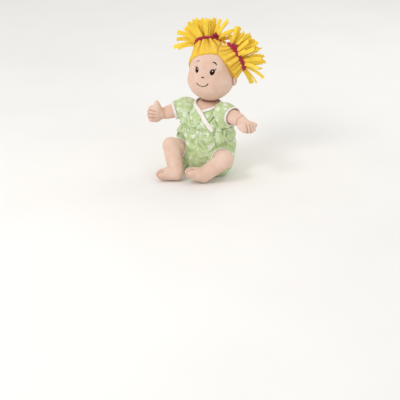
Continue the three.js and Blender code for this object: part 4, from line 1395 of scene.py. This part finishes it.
def band(name, root, axes, at, radius, width, side, limb_name, replaced, ripples=34):
    """A soft turned-up band round the end of a sleeve or leg."""
    turn = turns(220)
    out = spoke(axes, turn)
    rows, painted_shade_values = [], []
    ripple = np.sin(ripples * turn + 1.6 * np.sin(4 * turn))
    for t in turns(20):
        c, s = math.cos(t), math.sin(t)
        across, thick = flattened(c, 0.55) * width / 2, flattened(s, 0.55) * 1.25
        ring = root + axes[:, 1] * (at + across) + out * (radius + thick + (0.22 * ripple)[:, None] * (1 + s) / 2)
        rows.append(ring)
        # painted shade in the ripples' valleys and along the band's folded edges
        painted_shade_values.append(np.clip(-ripple, 0, 1) * 0.35 * (s > 0) + 0.5 * (abs(c) > 0.93))
    obj = outwards(new_object(name, *torus(rows), TRIM))
    tint(obj, np.array(painted_shade_values).ravel())
    kept_above(obj, 0.3)
    fitted(obj, f"{limb_name}_{side}", [f"{replaced}_{side}"])


def make_sleeve(side, edge):
    """A sleeve in two parts, one for each way that the shoulder moves, and its cuff."""
    root = shoulder(side)
    loop, turn, axes = ordered_loop(edge, root, vec(POSE[side]["wrist"]) - root, 120)
    loop = loop - unit(loop - root) * 0.6
    reach = SLEEVE["length"] - SLEEVE["band"] + 0.5
    split = 0.4
    parts = [("_top", 0, split, ("body", f"arm_root_{side}")),
             ("_cloth", split, 1, (f"arm_root_{side}", f"arm_{side}"))]
    lower = funnel(f"sleeve_{side}", loop, turn, axes, root, reach, SLEEVE["cuff"] - 0.9, 3.0, 1.2, parts,
                   SEED["sleeve"][side])
    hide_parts(f"sleeve_{side}")
    band(f"sleeve_{side}_cuff", root, axes, SLEEVE["length"] - SLEEVE["band"] / 2 + 0.2, SLEEVE["cuff"] - 0.7,
         SLEEVE["band"] + 0.6, side, "arm", "sleeve_cuff")


def make_shorts(side, edge):
    """A short leg of the romper and its hem."""
    root = hip(side)
    loop, turn, axes = ordered_loop(edge, root, vec(POSE[side]["knee"]) - root, 140)
    reach = SHORTS["length"] - SHORTS["band"] + 0.5
    parts = [("_cloth", 0, 1, ("body", f"leg_{side}"))]
    obj = funnel(f"shorts_{side}", loop, turn, axes, root, reach, SHORTS["hem"] - 0.8, 5.5, 1.5, parts,
                 SEED["shorts"][side])
    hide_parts(f"shorts_leg_{side}")
    band(f"shorts_{side}_hem", root, axes, SHORTS["length"] - SHORTS["band"] / 2 + 0.2, SHORTS["hem"] - 0.6,
         SHORTS["band"] + 0.6, side, "leg", "shorts_hem", ripples=40)


def binding(side, width, line):
    """A folded binding: a soft flat roll through points, each with the surface's normal and the way across."""
    rows, painted_shade_values = [], []
    for i, (p, normal, across) in enumerate(line):
        ripple = 0.12 * math.sin(i * 0.9)
        row = []
        for t in turns(18):
            c, s = math.cos(t), math.sin(t)
            u, v = flattened(c, 0.6) * width / 2, flattened(s, 0.7) * (1.15 + ripple)
            row.append(p + across * u + normal * v)
            # painted shade along the binding's folded edges
            painted_shade_values.append(0.55 * (abs(c) > 0.9))
        rows.append(row)
    obj = outwards(new_object(f"wrap_binding_{side}_trim", *grid(rows, caps=True), TRIM))
    # the two end caps get painted shade too
    tint(obj, painted_shade_values + [0.3, 0.3])
    fitted(obj, "body", [f"wrap_binding_{side}"])


def surface(turn, z, offset):
    """A point of the romper's outside and its outward normal."""
    p = trunk_point(turn, np.array(z, float), offset)
    w = width_at(z) + offset
    a = trunk_point(turn + 0.5 / w, np.array(z, float), offset) - p
    b = trunk_point(turn, np.array(z + 0.5, float), offset) - p
    return p, unit(np.cross(a, b))


def make_bindings():
    """The bindings run up from the waist, cross at the chest and go round behind the neck."""
    for side, offset in (("right", 2.8), ("left", 0.9)):
        points = [surface(t, z, offset) for t, z in neckline(side)]
        rows = []
        for i, (p, n) in enumerate(points):
            d = unit(points[min(i + 1, len(points) - 1)][0] - points[max(i - 1, 0)][0])
            rows.append((p, n, unit(np.cross(n, d))))
        binding(side, NECKBAND[side], rows)


# ---- sound module and small inner parts ---------------------------------------------------


def dress_nodes():
    """Gives every CAD node that stays its own material."""
    looks = [(PLASTIC, "module_case_front module_case_back battery_door"), (RED, "press_button"),
             (STEEL, "button_spring battery_contact_negative battery_contact_positive battery_door_screw"),
             (STEEL, "button_cell_1 button_cell_2 button_cell_3"), (BOARD, "circuit_board"),
             (DARK, "tact_switch speaker power_switch"), (SKIN, "pocket_flap"),
             (HOOKS, "pocket_loop_strip pocket_hook_strip"),
             (TRIM, "arm_seam_left arm_seam_right leg_seam_left leg_seam_right")]
    for look, names in looks:
        for name in names.split():
            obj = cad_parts[name]
            obj.data.materials.clear()
            obj.data.materials.append(look)


# ---- camera, light and floor --------------------------------------------------------------


def make_stage():
    bpy.ops.mesh.primitive_plane_add(size=6, location=(0, 0, 0))
    floor = bpy.context.object
    floor.name = "floor"
    s = Shader("floor_paper")
    s.finish(s.mix(s.ramp(s.noise(3, 2), [(0.3, 0.0), (0.7, 1.0)]), srgb(244, 243, 241), srgb(240, 239, 237)), 0.9,
             [(s.noise(800, 2), 0.02)])
    floor.data.materials.append(s.material)

    world = bpy.data.worlds.new("studio")
    scene.world = world
    world.use_nodes = True
    background = world.node_tree.nodes["Background"]
    background.inputs["Color"].default_value = (1.0, 0.99, 0.98, 1)
    background.inputs["Strength"].default_value = 0.86

    def lamp(name, at, size, power, colour):
        data = bpy.data.lights.new(name, "AREA")
        data.shape, data.size, data.energy, data.color = "DISK", size, power, colour
        obj = bpy.data.objects.new(name, data)
        scene.collection.objects.link(obj)
        obj.location = at
        obj.rotation_mode = "QUATERNION"
        obj.rotation_quaternion = (Vector((0, 0, 0.15)) - Vector(at)).to_track_quat("-Z", "Y")

    lamp("key", (-0.3, -1.3, 1.4), 0.6, 9, (1.0, 0.97, 0.93))
    lamp("back", (0.3, 1.3, 1.2), 0.9, 3, (1, 1, 1))

    camera = bpy.data.cameras.new("camera")
    camera.lens = CAMERA["lens"]
    camera.sensor_width = 36
    obj = bpy.data.objects.new("camera", camera)
    scene.collection.objects.link(obj)
    obj.location = CAMERA["at"]
    obj.rotation_euler = (math.radians(CAMERA["pitch"]), 0, math.radians(CAMERA["turn"]))
    scene.camera = obj


make_stage()
make_torso()
make_neck()
make_head()
make_face()
for side in SIDES:
    make_ear(side)
    make_cap(side)
    make_tie(side)
    make_pigtail(side)
    make_arm(side)
    make_leg(side)
edges = make_romper()
for side in SIDES:
    make_sleeve(side, edges["arm_" + side])
    make_shorts(side, edges["leg_" + side])
make_bindings()
dress_nodes()
